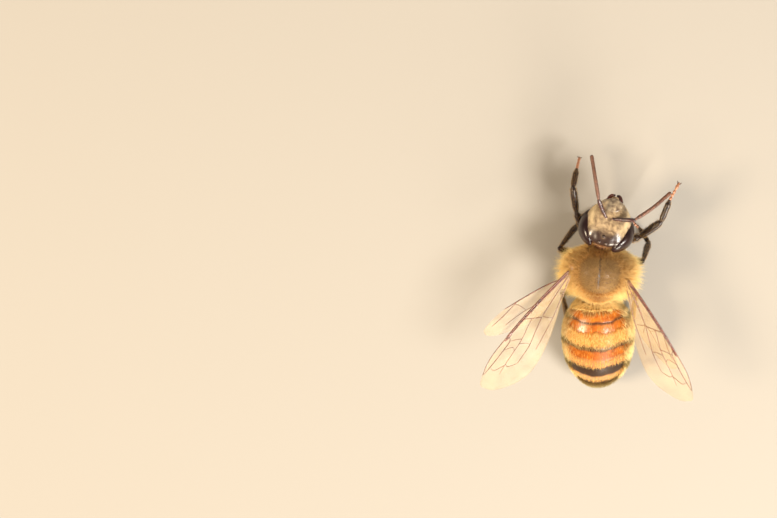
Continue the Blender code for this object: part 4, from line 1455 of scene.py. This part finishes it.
def down_share(u):
    """How thickly the hair grows: most behind and along the eyes' margins, none at the eyes."""
    x, y, z = u.T
    at_eye = bump(np.abs(x), 0.93, 0.16) * bump(z, 0.35, 0.42)
    face = (1 - 0.98 * crown_share(u)) * (0.3 + 0.7 * margin_share(u))
    return np.clip(1 - 1.4 * at_eye, 0, 1) * np.where(y < 0.45, face, 1)


u, here, normal = ball_roots(HEAD_HAIRS, head_surface, down_share, HEAD_SEED)
x, y, z = u.T
own = np.random.default_rng(HEAD_SEED + 1)
behind = step(0, 0.4, y)
chinward = np.broadcast_to(-np.array(crown), here.shape) + drift(here, size=0.8, seed=9) * 0.5
direction = combed(normal, chinward, 0.7 - 0.5 * behind)
direction = unit(direction + own.normal(size=here.shape) * 0.2 + drift(here, size=0.4, seed=8) * 0.2)
sizes = FACE_LENGTH + CROWN_EXTRA * step(0, 0.5, y) * step(-0.8, -0.2, z)
sizes = sizes * own.uniform(0.6, 1.0, HEAD_HAIRS)
# The dark mark, behind the head, is painted shade where the head meets the thorax.
spikes("head_coat_1", here, direction, chinward * 0.3, sizes, FACE_WIDTH + CROWN_WIDER * behind,
       coat_uv(u), {"dark": step(-0.1, 0.2, y)}, straw_hair, "head_coat")
print("head coat done")

# %% [markdown]
# ## Coat of the abdomen
# Hair on the abdomen lies flat towards the tail. It is thick and golden where the first plate
# meets the thorax, thin over the shiny orange plates and thick again, as pale felt, at the front
# of the later plates. Down the sides it stands out as a bright fringe.

# %% Abdomen coat
FELT_BANDS = ((0.3, 0.7, 0.4), (1.75, 2.75, 1.0), (3.65, 4.15, 0.4), (5.0, 5.7, 0.2))
band_hair = hair_material("band_hair", (0.74, 0.28, 0.035), (1.0, 0.68, 0.24), 0.24,
                          ((0.09, 0.045, 0.014), (0.40, 0.25, 0.08)))
front_hair = hair_material("front_hair", (0.70, 0.25, 0.03), (1.0, 0.74, 0.28), 0.4)
felt_hair = hair_material("felt_hair", (0.85, 0.38, 0.065), (1.0, 0.84, 0.42), 0.2,
                          ((0.06, 0.03, 0.006), (0.22, 0.135, 0.03)))


def abdomen_roots(count, accept, seed):
    """Roots on the abdomen: stations, angles, places, normals and the way to the tail."""
    spread = np.random.default_rng(seed)
    s, angle = np.empty(0), np.empty(0)
    while len(s) < count:
        more_s = spread.uniform(0.1, bare_length - 0.02, count)
        more_angle = spread.uniform(-math.pi, math.pi, count)
        size = half_width(more_s) / bare_half_width
        good = spread.random(count) < size * accept(more_s, more_angle)
        s = np.concatenate([s, more_s[good]])
        angle = np.concatenate([angle, more_angle[good]])
    s, angle = s[:count], angle[:count]
    zero = np.zeros(count)
    here = abdomen_point(s, angle, zero)
    ahead = abdomen_point(np.minimum(s + 0.03, bare_length), angle, zero) - here
    round_it = abdomen_point(s, angle + 0.01, zero) - here
    normal = unit(np.cross(round_it, ahead))
    point, _ = along(abdomen_path, s / solid_length)
    normal *= np.sign(dots(normal, here - point))
    return s, angle, here, normal, unit(ahead)


def abdomen_coat(name, count, seed, accept, length, lie, material, width=0.011):
    """One coat of the abdomen; accept, length and lie are functions of station and angle."""
    s, angle, here, normal, tailward = abdomen_roots(count, accept, seed)
    own = np.random.default_rng(seed + 1)
    way = tailward + drift(here, size=0.9, seed=12) * 0.25
    direction = unit(combed(normal, way, lie(s, angle)) + own.normal(size=here.shape) * 0.1)
    sizes = length(s, angle) * own.uniform(0.65, 1.0, count)
    uv = np.stack([angle / (2 * math.pi) + 0.5, s / bare_length], 1)
    marks = {"dark": dark_share(s, angle)}
    return spikes(name, here, direction, way * 0.5, sizes, width, np.clip(uv, 0, 1), marks, material,
                  "abdomen_plates")


def back_share(s, angle):
    """How thickly the short hair grows on the back; the broadest dark band is nearly bare."""
    thick = (0.04 + 0.96 * banded(s, angle, FELT_BANDS)) * (0.4 + 0.6 * step(0, 0.5, np.sin(angle)))
    return thick * (1 - 0.9 * banded(s, angle, (BROAD_BAND,)))


abdomen_coat("abdomen_back_coat", 8000, 51, back_share,
             lambda s, a: 0.34 + 0.1 * (1 - step(0.3, 1.5, s)), lambda s, a: 0.86, band_hair)
abdomen_coat("abdomen_tail_coat", 3500, 57, lambda s, a: step(5.9, 6.6, s),
             lambda s, a: 0.42, lambda s, a: 0.5, felt_hair)
abdomen_coat("abdomen_front_coat", 2800, 55, lambda s, a: 1 - step(0.15, 0.6, s),
             lambda s, a: 0.62, lambda s, a: 0.62, front_hair, 0.013)
abdomen_coat("abdomen_flank_coat", 15000, 61, lambda s, a: 1 - step(0.25, 0.7, np.sin(a)),
             lambda s, a: 0.46 + 0.16 * (np.cos(a) < 0), lambda s, a: 0.62 - 0.12 * (np.cos(a) < 0),
             felt_hair)
print("abdomen coat done")

# %% [markdown]
# ## Coat of the legs
# The legs carry short bristles, longer and paler on the thighs. On the hind shins a fringe of
# long curved hairs fences the pollen basket in.

# %% Leg coat
bristle_hair = hair_material("bristle_hair", (0.05, 0.022, 0.01), (0.80, 0.48, 0.18), 0.3)
FLOOR_GAP = 0.03 * MM                                 # hairs nearer to the floor are left out
BRISTLES = ((0.26, 1.3), (0.17, 1.2), (0.13, 0.8))    # length and share of the hairs, thigh to heel
BRISTLE_WIDTH, FRINGE_EXTRA = 0.006, 0.22


def leg_roots(count, own, path_ends, radius, wide, flat):
    """Roots on one straight length of a leg."""
    start, end = (np.array(point) for point in path_ends)
    share = own.uniform(0.03, 0.97, count)
    angle = own.uniform(-math.pi, math.pi, count)
    axis = (end - start) / np.linalg.norm(end - start)
    broad = wide - axis * (axis @ wide)
    broad /= np.linalg.norm(broad)
    thin = np.cross(axis, broad)
    out = broad * np.cos(angle)[:, None] + thin * (np.sin(angle) * flat)[:, None]
    normal = unit(broad * (np.cos(angle) * flat)[:, None] + thin * np.sin(angle)[:, None])
    here = start + (end - start) * share[:, None] + out * (radius(share) * MM)[:, None]
    return share, angle, here, normal, np.broadcast_to(axis, here.shape)


def leg_coat(name, pairs, each, seed):
    """The hairs of several lengths of leg as one piece."""
    own = np.random.default_rng(seed)
    rows = []
    for leg in (f"{pair}_{side_name}" for pair in pairs for _, side_name in SIDES):
        pair = leg.split("_")[0]
        joints = leg_points[leg]
        for number, (hair_length, hair_share) in enumerate(BRISTLES):
            node = LEG_PARTS[number][0]
            count = int(each * hair_share)
            share, angle, here, normal, axis = leg_roots(
                count, own, joints[number:number + 2], profile(*SHAPES[pair][number]),
                own_axes(f"{leg}_{node}")[:, 1], FLATS[pair][number])
            fringe = ((pair, node) == ("hindleg", "tibia")) * step(0.85, 0.97, np.abs(np.cos(angle)))
            way = combed(normal, axis, 0.5 - 0.15 * fringe)
            way = unit(way + own.normal(size=way.shape) * 0.12)
            size = (hair_length + FRINGE_EXTRA * fringe) * own.uniform(0.6, 1.0, count)
            unwrap = np.stack([angle / (2 * math.pi) + 0.5, share], 1)
            clear = here[:, 2] + np.minimum(way[:, 2], 0) * size * 1.3 * MM > FLOOR_GAP
            rows.append(tuple(column[clear] for column in (here, way, axis * 0.4, size, unwrap)))
    here, way, tips, size, unwrap = (np.concatenate(column) for column in zip(*rows))
    return spikes(name, here, way, tips, size, BRISTLE_WIDTH, unwrap, {}, bristle_hair, "leg")


leg_coat("front_leg_coat", ("foreleg", "midleg"), 330, 71)
leg_coat("hind_leg_coat", ("hindleg",), 900, 72)
print("leg coats done")
